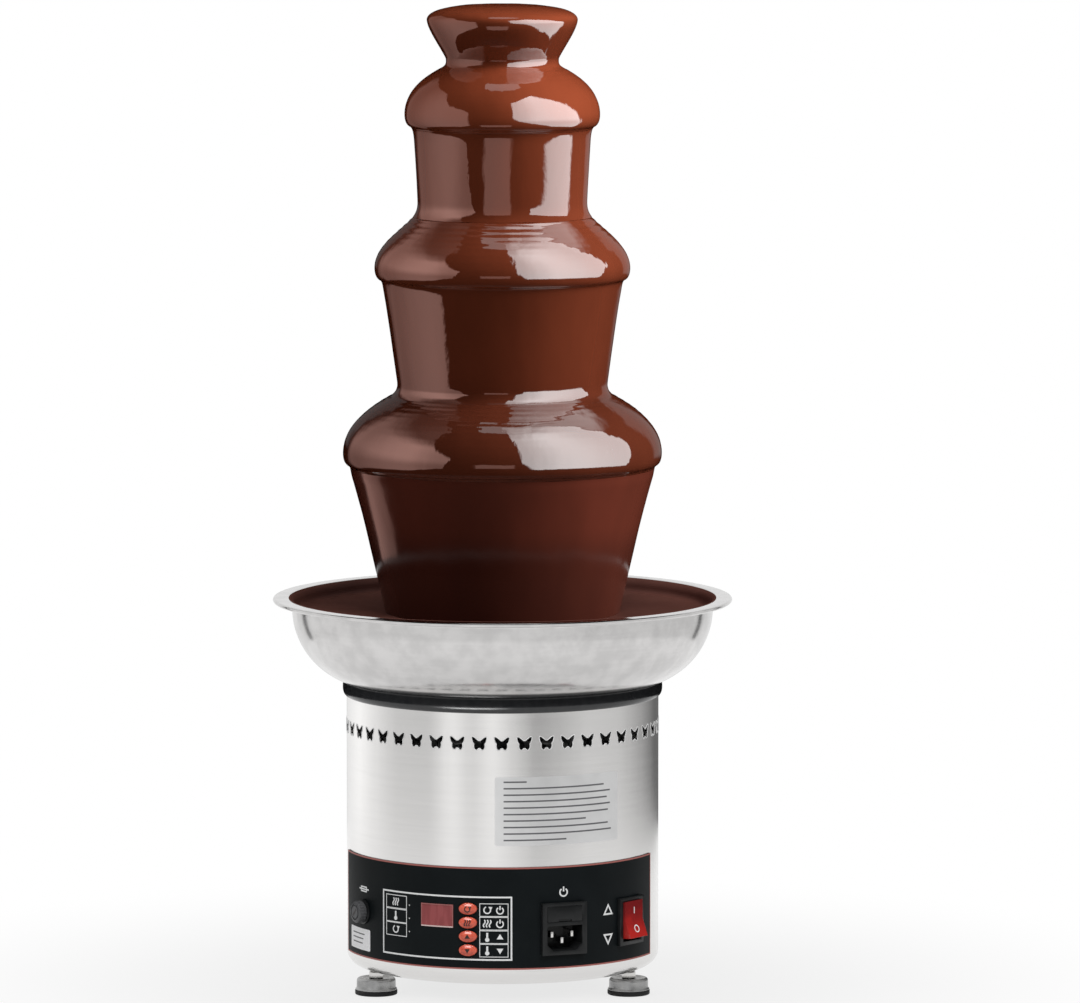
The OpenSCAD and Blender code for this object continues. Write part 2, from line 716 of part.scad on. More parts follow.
module wires() {
  hole = wall_point(45, 0, cable_circle - drum_r, 0);
  color("darkred") {
    wire([
      wall_point(inlet_turn, 7, -40.2, row_z - 4.2), wall_point(inlet_turn, 7, -50, row_z - 2),
      wall_point(switch_turn, 0, -44, row_z + 5), wall_point(switch_turn, 0, -32.2, row_z + 7)
    ]);
    wire(concat(
      [
        wall_point(switch_turn, 0, -32.2, row_z - 7), wall_point(switch_turn, 0, -44, row_z - 10),
        wall_point(25, 0, -52, row_z - 18), wall_point(8, 2, -42, row_z - 18)
      ],
      back(board_edge(-10))
    ));
    wire(concat(
      board_edge(5),
      [wall_point(8, 0, -42, motor_z + 12.7), wall_point(8, 0, motor_r + 0.4 - drum_r, motor_z + 12.7)]
    ));
    wire(concat(
      board_edge(15),
      [
        wall_point(8, 2, -30, row_z + 38), wall_point(32, 0, -28, row_z + 68),
        hole + [0, 0, deck_z - 9], hole + [0, 0, deck_top + 6], hole + [0, 0, bowl_z - fit - 22],
        hole + [0, 0, bowl_z - fit - 7.2]
      ]
    ));
  }
}

module idler_pin() {
  color("silver") translate([0, centre, 0]) rod(3, box_z + 1.2, deck_top);
}

module idler_gear() {
  color("goldenrod") translate([0, centre, 0]) {
    translate([0, 0, idler_z])
      gear(idler_teeth, first_module, 3 + run, idler_w, 270 + 180 / idler_teeth);
    translate([0, 0, idler_z + idler_w]) gear(pinion_teeth, gear_module, 3 + run, 14, 270);
  }
}

module output_gear() {
  color("goldenrod") translate([0, 0, idler_z + idler_w + 1.5])
    gear(output_teeth, gear_module, shaft_r, 12, 90 + 180 / output_teeth);
}

module output_shaft() {
  color("silver") {
    rod(shaft_r, idler_z + idler_w + 1.5, neck_top + 0.5);
    translate([0, 0, neck_top]) cylinder(r = shaft_r - 0.15, h = hex_top - neck_top, $fn = 6);
  }
}

module motor_can() {
  color("slategray") difference() {
    union() {
      rod(motor_r, motor_z, box_z - 4);
      rod(motor_flange_r, box_z - 4, box_z);
      rod(9, motor_z - 4, motor_z + 1);
    }
    rod(motor_r - 2, motor_z + 3, box_z + cut);
    rod(7 + run, motor_z - 2, motor_z + 4);
    on_circle(motor_r + 3.4, [-60, 0, 60]) rod(1.55, box_z - 5, box_z + cut);
  }
}

module stator() {
  color("sienna") difference() {
    rod(motor_r - 2 - fit, motor_z + 14, motor_z + motor_h - 14);
    rod(motor_r - 13, motor_z, motor_z + motor_h);
    for (t = [0:30:330]) rotate([0, 0, t]) translate([-2, -motor_r + 6, motor_z]) cube([4, 10, motor_h]);
  }
}

module rotor() {
  color("silver") {
    rod(motor_r - 13.6, motor_z + 15, motor_z + motor_h - 15);
    rod(motor_shaft_r, motor_z - 1.8, idler_z + 1);
    translate([0, 0, idler_z - 1.2]) gear(pinion_teeth, first_module, 0, idler_w + 1.7, 90);
  }
}

module shaft_bushes() {
  color("peru") {
    pipe(7, motor_shaft_r + run, motor_z - 2, motor_z + 4);
    pipe(7, motor_shaft_r + run, box_z - 3, box_z + box_floor);
    pipe(bush_r, shaft_r + run, deck_top + 1, deck_top + 15);
    pipe(bush_r, shaft_r + run, bowl_z - 14, floor_z + 2);
  }
}

module shaft_housing() {
  color("lightgray") difference() {
    union() {
      rod(screw_circle + 5, deck_top, deck_top + 4);
      rod(housing_r, deck_top, bowl_z - fit);
      rod(housing_r + 5, bowl_z - 5, bowl_z - fit);
      rod(neck_r, bowl_z - 5, neck_top);
    }
    rod(bush_r + run, deck_z, neck_top + cut);
    on_circle(screw_circle, screw_turns) rod(2.2, deck_z, deck_top + 5);
    translate([0, centre, 0]) rod(3.5, deck_z, deck_top + 5);
  }
}

module shaft_seal() {
  color("dimgray") pipe(bush_r, shaft_r + run, floor_z + 5, neck_top);
}

module hub_nut() {
  color("silver") difference() {
    union() {
      rod(19, floor_z + 1.6, floor_z + 3);
      translate([0, 0, floor_z + 2.5]) cylinder(r = 18, h = 6, $fn = 6);
    }
    rod(neck_r + run, floor_z, neck_top);
  }
}

module hub_washer() {
  color("white") pipe(18, neck_r + run, floor_z, floor_z + 1.6);
}

module heater_plate() {
  color("gray") pipe(curve_x - 4, 24, bowl_z - fit - 5, bowl_z - fit);
}

module heater_clamp() {
  top = bowl_z - fit - 5;
  color("silver") {
    pipe(curve_x - 6, 26, top - 2, top);
    on_circle(66, [45:90:315]) rod(4, deck_top, top - 1);
  }
}

module heat_sensor() {
  top = bowl_z - fit - 7;
  color("black") translate([40, 0, 0]) {
    rod(8, top - 7, top);
    translate([-3.5, -7, top - 14]) cube([1, 4, 8]);
    translate([2.5, 3, top - 14]) cube([1, 4, 8]);
  }
}

// The bowl's outside, from the middle of its floor to its wall
function bowl_outside(grow) = concat(
  [[0, bowl_z - grow]],
  arc([curve_x, curve_z], bowl_curve + grow, -90, 0, 16)
);

module bowl() {
  top = rim_z - rim_turn - sheet;
  profile = concat(
    [[neck_r + 0.3, bowl_z]],
    arc([curve_x, curve_z], bowl_curve, -90, 0, 16),
    arc([wall_r + rim_turn, top], rim_turn, 180, 90, 6),
    [[rim_r - bead_r, rim_z - sheet], [rim_r - bead_r, rim_z]],
    arc([wall_r + rim_turn, top], rim_turn + sheet, 90, 180, 6),
    arc([curve_x, curve_z], bowl_curve - sheet, 0, -90, 16),
    [[neck_r + 0.3, floor_z]]
  );
  color("silver") {
    rotate_extrude() polygon(profile);
    rotate_extrude() translate([rim_r - bead_r, rim_z - bead_r]) circle(bead_r);
  }
}

module bowl_ring() {
  color("black") difference() {
    rotate_extrude() polygon([
      [ring_in, drum_top], [drum_in - fit - 2, drum_top], [drum_in - fit - 2, drum_top - 6],
      [drum_in - fit, drum_top - 6], [drum_in - fit, drum_top], [drum_r, drum_top],
      [ring_r, drum_top + 2], [ring_r, drum_top + ring_h - 1], [ring_r - 0.6, drum_top + ring_h],
      [ring_in, drum_top + ring_h]
    ]);
    rotate_extrude() polygon(concat(bowl_outside(fit), [[0, curve_z]]));
  }
}

module tower_foot() {
  color("silver") difference() {
    union() {
      rod(tower_foot_r, floor_z, floor_z + 3);
      rod(socket_r, floor_z, socket_top);
    }
    rod(tube_r - 0.6, floor_z - cut, socket_top + cut);
    rod(tube_r + fit, socket_z, socket_top + cut);
    for (t = [0:120:240]) rotate([0, 0, t]) translate([-14, -socket_r - cut, floor_z + 3])
      cube([28, 20, 15]);
  }
}

module tower_tube() {
  color("silver") pipe(tube_r, tube_in, socket_z, tube_top);
}

// A spun tier: the collar on the tube, then the dome out to the lip
module tier(d) {
  start = d[0];
  top = start[1] + 0.25 * (start[0] - collar_r);
  rotate_extrude() polygon(concat(
    [[tube_r + fit, top], [collar_r, top]],
    d,
    back(beside(d, -sheet)),
    [[collar_r, top - 1.1 * sheet], [collar_r, top - 15], [tube_r + fit, top - 15]]
  ));
}
module upper_tier() {
  color("silver") tier(upper_dome);
}
module middle_tier() {
  color("silver") tier(middle_dome);
}
module lower_tier() {
  color("silver") tier(lower_dome);
}

// Spring rings that the three collars rest on
module tier_stops() {
  color("gray") for (d = [upper_dome, middle_dome, lower_dome]) {
    low = d[0][1] + 0.25 * (d[0][0] - collar_r) - 15;
    pipe(tube_r + 2.2, tube_r + run, low - 2, low);
  }
}

module crown() {
  lip = [crown_r, crown_rim_z];
  color("silver") rotate_extrude() polygon([
    [tube_r + fit, cone_z - 5], [collar_r, cone_z - 5], [collar_r, cone_z], lip,
    lip - [1.1 * sheet, 0], [collar_r - 1.1 * sheet, cone_z + 1.6], [tube_in, cone_z + 1.6],
    [tube_in, cone_z + fit], [tube_r + fit, cone_z + fit]
  ]);
}

module chocolate_flow() {
  slope = (crown_r - collar_r) / crown_cone;
  cup = cone_z + 5;
  rim = crown_r + 1.05 * film;
  outside = concat(
    curve([
      [0, crown_rim_z + dome_h],
      [0.72 * crown_r, crown_rim_z + dome_h],
      [rim - 0.6, crown_rim_z + 5],
      [rim, crown_rim_z - 1.5]
    ], 14),
    [for (i = [1:8]) curve_at([
      [rim, crown_rim_z - 1.5],
      [rim - 0.4, crown_rim_z - 9],
      [collar_r + film + 0.6 + 4 * slope, cone_z + 5],
      [collar_r + film + 0.6, cone_z - 1]
    ], i / 8)],
    tier_outer(upper_dome),
    tier_outer(middle_dome),
    tier_outer(lower_dome),
    [[pool_start_d / 2, pool_z], [pool_start_d / 2 - curtain_t, pool_z]]
  );
  inside = concat(
    tier_inner(lower_dome),
    tier_inner(middle_dome),
    tier_inner(upper_dome),
    [
      [collar_r + off, cone_z - 4.5], [collar_r + off, cone_z - 0.2],
      [crown_r + off, crown_rim_z - 0.2], [crown_r + off, crown_rim_z + off],
      [crown_r - 1.1 * sheet - off, crown_rim_z + off],
      [collar_r - 1.1 * sheet - 2 * off + slope * (cup - cone_z - 1.6), cup], [0, cup]
    ]
  );
  color("saddlebrown") rotate_extrude() polygon(concat(outside, inside));
}

module chocolate_pool() {
  wall = curve_x + sqrt(pow(bowl_curve - sheet - off, 2) - pow(curve_z - pool_z, 2));
  bottom = floor_z + off;
  turn = -asin((curve_z - pool_z) / (bowl_curve - sheet - off));
  color("saddlebrown") rotate_extrude() polygon(concat(
    [[tower_foot_r + off, bottom]],
    arc([curve_x, curve_z], bowl_curve - sheet - off, -90, turn, 14),
    [
      [socket_r + off, pool_z], [socket_r + off, floor_z + 3 + off],
      [tower_foot_r + off, floor_z + 3 + off]
    ]
  ));
}

module auger_core() {
  color("white") difference() {
    rod(core_r, neck_top + 1, cone_z + 2);
    translate([0, 0, neck_top]) cylinder(r = shaft_r + 0.05, h = hex_top - neck_top + 0.1, $fn = 6);
  }
}

module auger_flight() {
  steps = 24;
  from = neck_top + 3;
  turns = (cone_z - 2 - flight_t - from) / flight_pitch;
  count = ceil(turns * steps);
  inner = core_r + 0.15;
  points = [for (i = [0:count])
    let (a = 360 * turns * i / count, z = from + flight_pitch * turns * i / count)
    each [
      [inner * cos(a), inner * sin(a), z], [flight_r * cos(a), flight_r * sin(a), z],
      [flight_r * cos(a), flight_r * sin(a), z + flight_t], [inner * cos(a), inner * sin(a), z + flight_t]
    ]
  ];
  sides = [for (i = [0:count - 1]) for (j = [0:3])
    let (a = 4 * i + j, b = 4 * i + (j + 1) % 4)
    each [[a, a + 4, b], [b, a + 4, b + 4]]
  ];
  last = 4 * count;
  ends = [[0, 1, 2], [0, 2, 3], [last, last + 2, last + 1], [last, last + 3, last + 2]];
  color("white") polyhedron(points, concat(sides, ends));
}

base_shell();
base_plate();
foot_bushes();
foot_cap(foot_turns[0]);  // foot_cap_left
foot_cap(foot_turns[1]);  // foot_cap_right
foot_cap(foot_turns[2]);  // foot_cap_rear
foot_sole(foot_turns[0]);  // foot_sole_left
foot_sole(foot_turns[1]);  // foot_sole_right
foot_sole(foot_turns[2]);  // foot_sole_rear
foot_stud(foot_turns[0]);  // foot_stud_left
foot_stud(foot_turns[1]);  // foot_stud_right
foot_stud(foot_turns[2]);  // foot_stud_rear
control_panel();
display_window();
control_board();
board_bracket();
button(0);  // button_motor
button(1);  // button_heat
button(2);  // button_up
button(3);  // button_down
inlet_body();
inlet_pins();
fuse_drawer();
drawer_fuse();
switch_frame();
switch_rocker();
fuse_holder();
fuse_cap();
deck_plate();
gearbox_housing();
case_screws();
wires();
idler_pin();
idler_gear();
output_gear();
output_shaft();
motor_can();
stator();
rotor();
shaft_bushes();
shaft_housing();
shaft_seal();
hub_nut();
hub_washer();
heater_plate();
heater_clamp();
heat_sensor();
bowl();
bowl_ring();
tower_foot();
tower_tube();
upper_tier();
middle_tier();
lower_tier();
tier_stops();
crown();
auger_core();
auger_flight();
chocolate_flow();
chocolate_pool();
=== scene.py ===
# Chocolate fountain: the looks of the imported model, in metres and in its own frame.
# The control panel faces -Y, and angles round the drum run from -Y towards +X, in degrees.

import math

import bmesh
import bpy
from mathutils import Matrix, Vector


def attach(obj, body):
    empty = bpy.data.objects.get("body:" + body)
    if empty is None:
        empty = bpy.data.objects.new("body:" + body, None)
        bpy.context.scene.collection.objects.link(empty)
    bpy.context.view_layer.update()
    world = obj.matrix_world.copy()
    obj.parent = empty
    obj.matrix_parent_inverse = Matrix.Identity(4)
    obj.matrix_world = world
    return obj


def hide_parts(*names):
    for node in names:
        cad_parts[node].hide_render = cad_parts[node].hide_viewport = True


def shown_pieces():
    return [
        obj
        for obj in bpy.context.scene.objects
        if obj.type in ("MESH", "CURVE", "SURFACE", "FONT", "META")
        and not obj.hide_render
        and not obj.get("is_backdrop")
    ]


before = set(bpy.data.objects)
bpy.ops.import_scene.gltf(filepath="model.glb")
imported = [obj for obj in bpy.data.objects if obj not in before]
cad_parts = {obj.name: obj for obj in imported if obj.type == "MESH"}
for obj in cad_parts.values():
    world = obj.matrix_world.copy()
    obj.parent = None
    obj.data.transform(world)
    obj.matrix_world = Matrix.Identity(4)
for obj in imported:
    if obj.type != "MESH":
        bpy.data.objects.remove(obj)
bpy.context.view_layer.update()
scene = bpy.context.scene


# Camera: it stands five and a half metres off with a long lens, a quarter of a metre higher than the
# crown, and looks down six degrees, so the bowl and the tiers show as flat ellipses.
LOOK_DOWN = 5.969
camera_data = bpy.data.cameras.new("camera")
camera_data.sensor_width = 36.0
camera_data.lens = 282.4
camera = bpy.data.objects.new("camera", camera_data)
camera.location = (0.0245, -5.5, 0.8935)
camera.rotation_euler = (math.radians(90 - LOOK_DOWN), 0, 0)
scene.collection.objects.link(camera)
scene.camera = camera
scene.view_settings.view_transform = "Standard"


# Studio: a white room with a small pale floor that keeps the shadow. The lamps and the room light every
# surface at a plain level, and the room shows white to the camera, in gloss and through glass.
class Value:
    """A socket in a node tree: operators add Math nodes, and node() adds a node of any other kind."""

    def __init__(self, tree, socket=None):
        self.tree = tree
        self.socket = socket

    def node(self, kind, sockets=None, out=0, stops=(), **settings):
        made = self.tree.nodes.new(kind)
        for name, setting in settings.items():
            setattr(made, name, setting)
        for place, (position, level) in enumerate(stops):
            elements = made.color_ramp.elements
            element = elements[0] if place == 0 else elements.new(position)
            if place == 0:
                elements.remove(elements[1])
                element.position = position
            element.color = (level, level, level, 1)
        for name, given in (sockets or {}).items():
            if isinstance(given, Value):
                self.tree.links.new(given.socket, made.inputs[name])
            else:
                made.inputs[name].default_value = given
        return Value(self.tree, made.outputs[out] if made.outputs else None)

    def out(self, name):
        return Value(self.tree, self.socket.node.outputs[name])

    def math(self, operation, first, second=0.0):
        return self.node("ShaderNodeMath", {0: first, 1: second}, operation=operation)

    def between(self, low, high):
        span = {"Value": self, "From Min": low, "From Max": high}
        return self.node("ShaderNodeMapRange", span, interpolation_type="SMOOTHSTEP")

    def pick(self, first, second):
        ends = {"Factor": self, 6: first, 7: second}
        return self.node("ShaderNodeMix", ends, out=2, data_type="RGBA")

    def __add__(self, other):
        return self.math("ADD", self, other)

    def __sub__(self, other):
        return self.math("SUBTRACT", self, other)

    def __rsub__(self, other):
        return self.math("SUBTRACT", other, self)

    def __mul__(self, other):
        return self.math("MULTIPLY", self, other)

    __radd__ = __add__
    __rmul__ = __mul__


WHITE = (1.0, 1.0, 1.0, 1.0)


def blank(owner):
    """Empty the node tree of a material, the world or a lamp, and start on it."""
    owner.use_nodes = True
    owner.node_tree.nodes.clear()
    return Value(owner.node_tree)


def shows_white(start):
    """One for the rays that show the background: from the camera, off gloss and through glass."""
    path = start.node("ShaderNodeLightPath")
    seen = path.math("MAXIMUM", path.out("Is Camera Ray"), path.out("Is Transmission Ray"))
    return path.math("MAXIMUM", seen, path.out("Is Glossy Ray"))


def own_place(start):
    """A piece's own coordinates, taken apart into X, Y and Z."""
    place = start.node("ShaderNodeTexCoord").out("Object")
    return place.node("ShaderNodeSeparateXYZ", {0: place})


def turn_of(place):
    """The turn about the upright axis, from the front, in radians."""
    return place.math("ARCTAN2", place.out("X"), place.out("Y") * -1)


def off_axis(place):
    """The distance from the upright axis."""
    x = place.out("X")
    y = place.out("Y")
    return place.math("SQRT", x * x + y * y)


def show(name, mesh):
    """A mesh as an object in the scene."""
    piece = bpy.data.objects.new(name, mesh)
    scene.collection.objects.link(piece)
    return piece


def ring_of_points(radius, z, count):
    """Points round the axis, from the front towards the right."""
    turns = [2 * math.pi * k / count for k in range(count)]
    return [(radius * math.sin(a), -radius * math.cos(a), z) for a in turns]


def mesh_of(name, points, faces):
    mesh = bpy.data.meshes.new(name)
    mesh.from_pydata([tuple(p) for p in points], [], faces)
    mesh.validate()
    mesh.update()
    return mesh


# What the room gives to matt surfaces: most from above, less from its sides and from below
ROOM_TOP = 0.75
ROOM_SIDE = 0.25
world = bpy.data.worlds.new("studio_room")
scene.world = world
room = blank(world)
height = room.node("ShaderNodeTexCoord").out("Generated")
height = height.node("ShaderNodeSeparateXYZ", {0: height}).out("Z")
matt = height.between(-0.3, 1.0) * (ROOM_TOP - ROOM_SIDE) + ROOM_SIDE
seen = shows_white(room)
spread = room.node("ShaderNodeLightPath").out("Is Diffuse Ray")
level = seen + (1 - seen) * spread * matt
backdrop = room.node("ShaderNodeBackground", {"Color": WHITE, "Strength": level})
room.node("ShaderNodeOutputWorld", {"Surface": backdrop})

# The room as polished steel sees it: a pale wall on the left, two bright strips in front, a dark flag to
# their right, a grey wall on the right and a dark corner behind it. Turn from the front, brightness.
BANDS = [
    (-180, 0.7), (-130, 1.2), (-85, 0.7), (-55, 0.65), (-37, 1.05), (-22, 0.75), (-7, 1.05), (25, 0.4),
    (65, 0.7), (95, 0.65), (150, 0.15),
]


def banded(start):
    """The brightness of the round room by the turn from the front."""
    along = turn_of(own_place(start)) * (0.5 / math.pi) + 0.5
    return along.node("ShaderNodeValToRGB", {0: along}, stops=[(a / 360 + 0.5, b) for a, b in BANDS])


# The floor shows white at its edge, and near the object a quarter of it is a grey that takes the shadow
SIDES = 96
FLOOR_R = 0.75
SHADED = 0.25
floor_points = [(0, 0, 0)] + ring_of_points(FLOOR_R, 0, SIDES)
floor_faces = [(0, 1 + k, 1 + (k + 1) % SIDES) for k in range(SIDES)]
floor = show("floor", mesh_of("floor", floor_points, floor_faces))
floor_finish = bpy.data.materials.new("pale_floor")
ground = blank(floor_finish)
reach = off_axis(own_place(ground))
plain = ground.node("ShaderNodeEmission", {"Color": WHITE, "Strength": 1.0})
pale = ground.node("ShaderNodeBsdfDiffuse", {"Color": (0.85, 0.85, 0.85, 1)})
whiten = shows_white(ground) * (reach.between(0.1, 0.5) * SHADED + (1 - SHADED))
mixed = ground.node("ShaderNodeMixShader", {0: whiten, 1: pale, 2: plain})
ground.node("ShaderNodeOutputMaterial", {"Surface": mixed})
floor.data.materials.append(floor_finish)
floor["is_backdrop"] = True

# The round room is a wall with a bottom, far off. It shows only as a reflection, and casts no shadow.
WALL_R = 6.0
WALL_LOW = -4.0
WALL_TOP = 30.0
wall_points = ring_of_points(WALL_R, WALL_LOW, SIDES) + ring_of_points(WALL_R, WALL_TOP, SIDES)
wall_points.append((0, 0, WALL_LOW))
wall_faces = [(k, k + SIDES, SIDES + (k + 1) % SIDES, (k + 1) % SIDES) for k in range(SIDES)]
wall_faces += [(k, (k + 1) % SIDES, 2 * SIDES) for k in range(SIDES)]
walls = show("room_walls", mesh_of("room_walls", wall_points, wall_faces))
wall_finish = bpy.data.materials.new("room_walls")
wall_finish.cycles.emission_sampling = "NONE"
wall_paint = blank(wall_finish)
wall_glow = wall_paint.node("ShaderNodeEmission", {"Color": banded(wall_paint), "Strength": 1.0})
wall_paint.node("ShaderNodeOutputMaterial", {"Surface": wall_glow})
walls.data.materials.append(wall_finish)
walls.visible_camera = False
walls.visible_diffuse = False
walls.visible_transmission = False
walls.visible_shadow = False
walls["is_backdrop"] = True
steel_seen = bpy.data.collections.new("steel_seen")
walls.light_linking.receiver_collection = steel_seen


def lamp(name, turn, lift, distance, width, height, brightness, aim=0.35):
    """A soft box of the given size and brightness, aimed at the tower's axis at height aim."""
    light = bpy.data.lights.new(name, "AREA")
    light.shape = "RECTANGLE"
    light.size = width
    light.size_y = height
    light.energy = brightness * math.pi * width * height
    box = bpy.data.objects.new(name, light)
    a = math.radians(turn)
    e = math.radians(lift)
    away = Vector((math.sin(a) * math.cos(e), -math.cos(a) * math.cos(e), math.sin(e)))
    box.location = away * distance + Vector((0, 0, aim))
    box.rotation_euler = away.to_track_quat("Z", "Y").to_euler()
    box.visible_camera = False
    scene.collection.objects.link(box)
    return box


# Two soft boxes light the matt base, from the upper right and from the left. Two more, on the right, light
# the running chocolate and its lowest curtain. Nothing mirrors these four.
chocolate_seen = bpy.data.collections.new("chocolate_seen")
skirt_seen = bpy.data.collections.new("skirt_seen")
base_seen = bpy.data.collections.new("base_seen")
LAMPS = [
    (lamp("key_light", 28, 48, 2.2, 1.2, 1.2, 9.0), base_seen),
    (lamp("fill_light", -50, 25, 2.4, 1.4, 1.6, 2.0), base_seen),
    (lamp("right_key", 84, 28, 2.2, 1.2, 1.2, 23.0, aim=0.45), chocolate_seen),
    (lamp("skirt_key", 72, 12, 2.2, 0.8, 0.8, 7.0, aim=0.3), skirt_seen),
]
for box, lit in LAMPS:
    box.visible_glossy = False
    box.light_linking.receiver_collection = lit

# Soft boxes that light nothing, and that only the pieces they are linked to mirror. Each is a wide lamp
# whose glow is shaped by direction, as turn from the front and lift in degrees from a point on the axis.
dome_seen = bpy.data.collections.new("dome_seen")
fall_seen = bpy.data.collections.new("fall_seen")
lower_seen = bpy.data.collections.new("lower_seen")
crown_seen = bpy.data.collections.new("crown_seen")
button_seen = bpy.data.collections.new("button_seen")
ring_seen = bpy.data.collections.new("ring_seen")
bowl_seen = bpy.data.collections.new("bowl_seen")
PLAIN = WHITE[:3]
WARM = (1.0, 0.56, 0.48)


def soft_box(name, turn, lift, distance, size, brightness, glow, tint, seen_by, aim=0.45):
    """A lamp with a shaped glow, for one group of pieces to mirror."""
    box = lamp(name, turn, lift, distance, size[0], size[1], brightness, aim)
    box.data.color = tint
    start = blank(box.data)
    place = start.node("ShaderNodeNewGeometry").out("Position")
    place = place.node("ShaderNodeSeparateXYZ", {0: place})
    degrees = 180 / math.pi
    bearing = turn_of(place) * degrees
    rise = place.math("ARCTAN2", place.out("Z") - aim, off_axis(place)) * degrees
    shaped = start.node("ShaderNodeEmission", {"Strength": glow(bearing, rise)})
    start.node("ShaderNodeOutputLight", {"Surface": shaped})
    box.visible_diffuse = False
    box.visible_transmission = False
    box.light_linking.receiver_collection = seen_by


# The steel and plastic mirror the pale floor, and the chocolate its soft boxes instead
floor.light_linking.receiver_collection = base_seen


def within(value, low, high, edge):
    """One between low and high, with soft edges inside them."""
    return value.between(low, low + edge) * (1 - value.between(high - edge, high))


def patch(turns=None, lifts=None):
    """A plain glow over a span of turn, of lift or of both: low, high and the width of its soft edge."""
    def glow(turn, lift):
        spans = [(turn, turns), (lift, lifts)]
        return math.prod([within(value, *span) for value, span in spans if span])
    return glow


def right_glow(turn, lift):
    """A tall window on the right, whose lower left corner is cut off and which fades at the top."""
    shape = within(turn, 12, 114, 3) * (turn + lift * 0.44).between(15, 19) * lift.between(-15, -12)
    level = (0.62 + turn.between(14, 52) * 0.38) * (1 - turn.between(55, 112) * 0.34)
    return shape * level * (1 - lift.between(62, 86) * 0.8)


def left_glow(turn, lift):
    """A warm wall on the left, whose right edge leans back as it rises and is cut off below."""
    edge = 1 - (turn + turn.math("MAXIMUM", lift, 12.0) * 0.88).between(-28, -23)
    edge = edge * (1 - (turn - lift * 2.1).between(-24, -19))
    level = (1 - turn.between(-72, -45) * 0.35) * (0.28 + turn.between(-140, -72) * 0.72)
    rise = (1 + lift.between(-8, 12) * 0.8) * (1 - lift.between(32, 52) * 0.85)
    return turn.between(-154, -138) * edge * level * rise * lift.between(-27, -22)


def fall_glow(turn, lift):
    """The window as the upper fall mirrors it, with a leaning left edge."""
    shape = (turn + lift * 2.0).between(36, 46) * (1 - turn.between(101, 106))
    return shape * (0.9 + turn.between(45, 90) * 0.1)


def crown_right_glow(turn, lift):
    """The window as the crown mirrors it, with its corners cut off."""
    left = turn.between(11, 14) * (turn + lift * 0.5).between(11, 15) * (turn + lift * 1.8).between(-3, 4)
    right = (1 - (turn + lift * 0.55).between(98, 103)) * (1 - (turn + lift * 1.4).between(131, 138))
    right = right * (1 - turn.between(106, 111))
    level = (0.66 + turn.between(14, 50) * 0.34) * (0.7 + lift.between(-16, -4) * 0.3)
    return left * right * level * lift.between(-41, -38)


def crown_left_glow(turn, lift):
    """The warm wall as the crown mirrors it."""
    edge = (1 - turn.between(-44, -39)) * (1 - (turn + lift * 1.9).between(-19, -12))
    level = 0.25 + turn.between(-140, -72) * 0.75
    edge = edge * (1 - (turn - lift * 2.6).between(38, 44)) * lift.between(-49, -45)
    return turn.between(-156, -146) * edge * level


UPPER = patch((106, 168, 12), (40, 86, 10))
FRONT = patch((-20, 9, 3), (-10, 2, 2))
REAR_RIGHT = patch((138, 168, 5), (-10, 30, 4))
REAR_LEFT = patch((-174, -150, 6), (-4, 30, 4))
STRIP = patch((-27, 14, 4))
CROWN_FRONT = patch((-27, 13, 3), (-52, -27, 3))

# Where each box stands, as turn, lift and distance, then its size, brightness, glow, tint and group
soft_box("right_box", 58, 33, 3.0, (7.4, 8.4), 6.5, right_glow, PLAIN, dome_seen)
soft_box("upper_box", 137, 63, 3.0, (4.4, 4.0), 1.7, UPPER, PLAIN, dome_seen)
soft_box("front_box", -5, -4, 3.0, (2.2, 1.2), 1.0, FRONT, WARM, dome_seen)
soft_box("left_box", -100, 16, 3.0, (10.0, 7.4), 1.65, left_glow, WARM, lower_seen)
soft_box("rear_right", 153, 13, 3.0, (2.6, 3.4), 0.22, REAR_RIGHT, PLAIN, lower_seen)
soft_box("rear_left", -156, 14, 3.0, (2.6, 2.6), 0.11, REAR_LEFT, PLAIN, lower_seen)
soft_box("fall_box", 75, 3, 3.0, (4.6, 3.0), 4.3, fall_glow, PLAIN, fall_seen)
soft_box("fall_strip", -7, 2, 3.0, (2.6, 3.0), 1.15, STRIP, WARM, fall_seen)
soft_box("crown_right", 62, 2, 1.0, (2.6, 2.9), 6.2, crown_right_glow, PLAIN, crown_seen, aim=0.6)
soft_box("crown_left", -100, -4, 1.0, (3.4, 2.4), 1.5, crown_left_glow, WARM, crown_seen, aim=0.6)
soft_box("crown_front", -7, -40, 0.9, (0.9, 0.5), 1.1, CROWN_FRONT, WARM, crown_seen, aim=0.6)

# The lowest curtain mirrors a warm box on the left, past the rim of the bowl
soft_box("skirt_box", -118, -33, 0.5, (0.5, 0.4), 2.2, patch((-130, -98, 5)), WARM, skirt_seen, aim=0.33)

# The bowl mirrors four large even boxes round it, as in a light tent: their turn, width and brightness
TENT = [("front", 0, 6.0, 0.88), ("left", -90, 6.0, 0.92)]
TENT += [("right", 90, 6.0, 0.82), ("back", 180, 5.0, 0.88)]
for side, turn, width, level in TENT:
    soft_box(f"tent_{side}", turn, 0, 3.0, (width, 6.0), level, patch(), PLAIN, bowl_seen, aim=0.22)

# Two boxes that only the red caps and the black seat ring mirror
soft_box("button_box", -25, 56, 3.0, (3.0, 2.0), 12.0, patch(lifts=(38, 74, 6)), PLAIN, button_seen)
soft_box("ring_box", -20, -22, 0.45, (0.5, 0.07), 13.0, patch((-48, 8, 20)), PLAIN, ring_seen, aim=0.197)


# Feet: three levelling feet, each a rubber sole under a grey steel cap, which turns freely on the ball of
# a threaded stud. The stud's hexagon is turned with a spanner to set the foot's height.
MM = 0.001
FOOT_CIRCLE = 91.5
FEET = {"left": -64, "right": 64, "rear": 180}


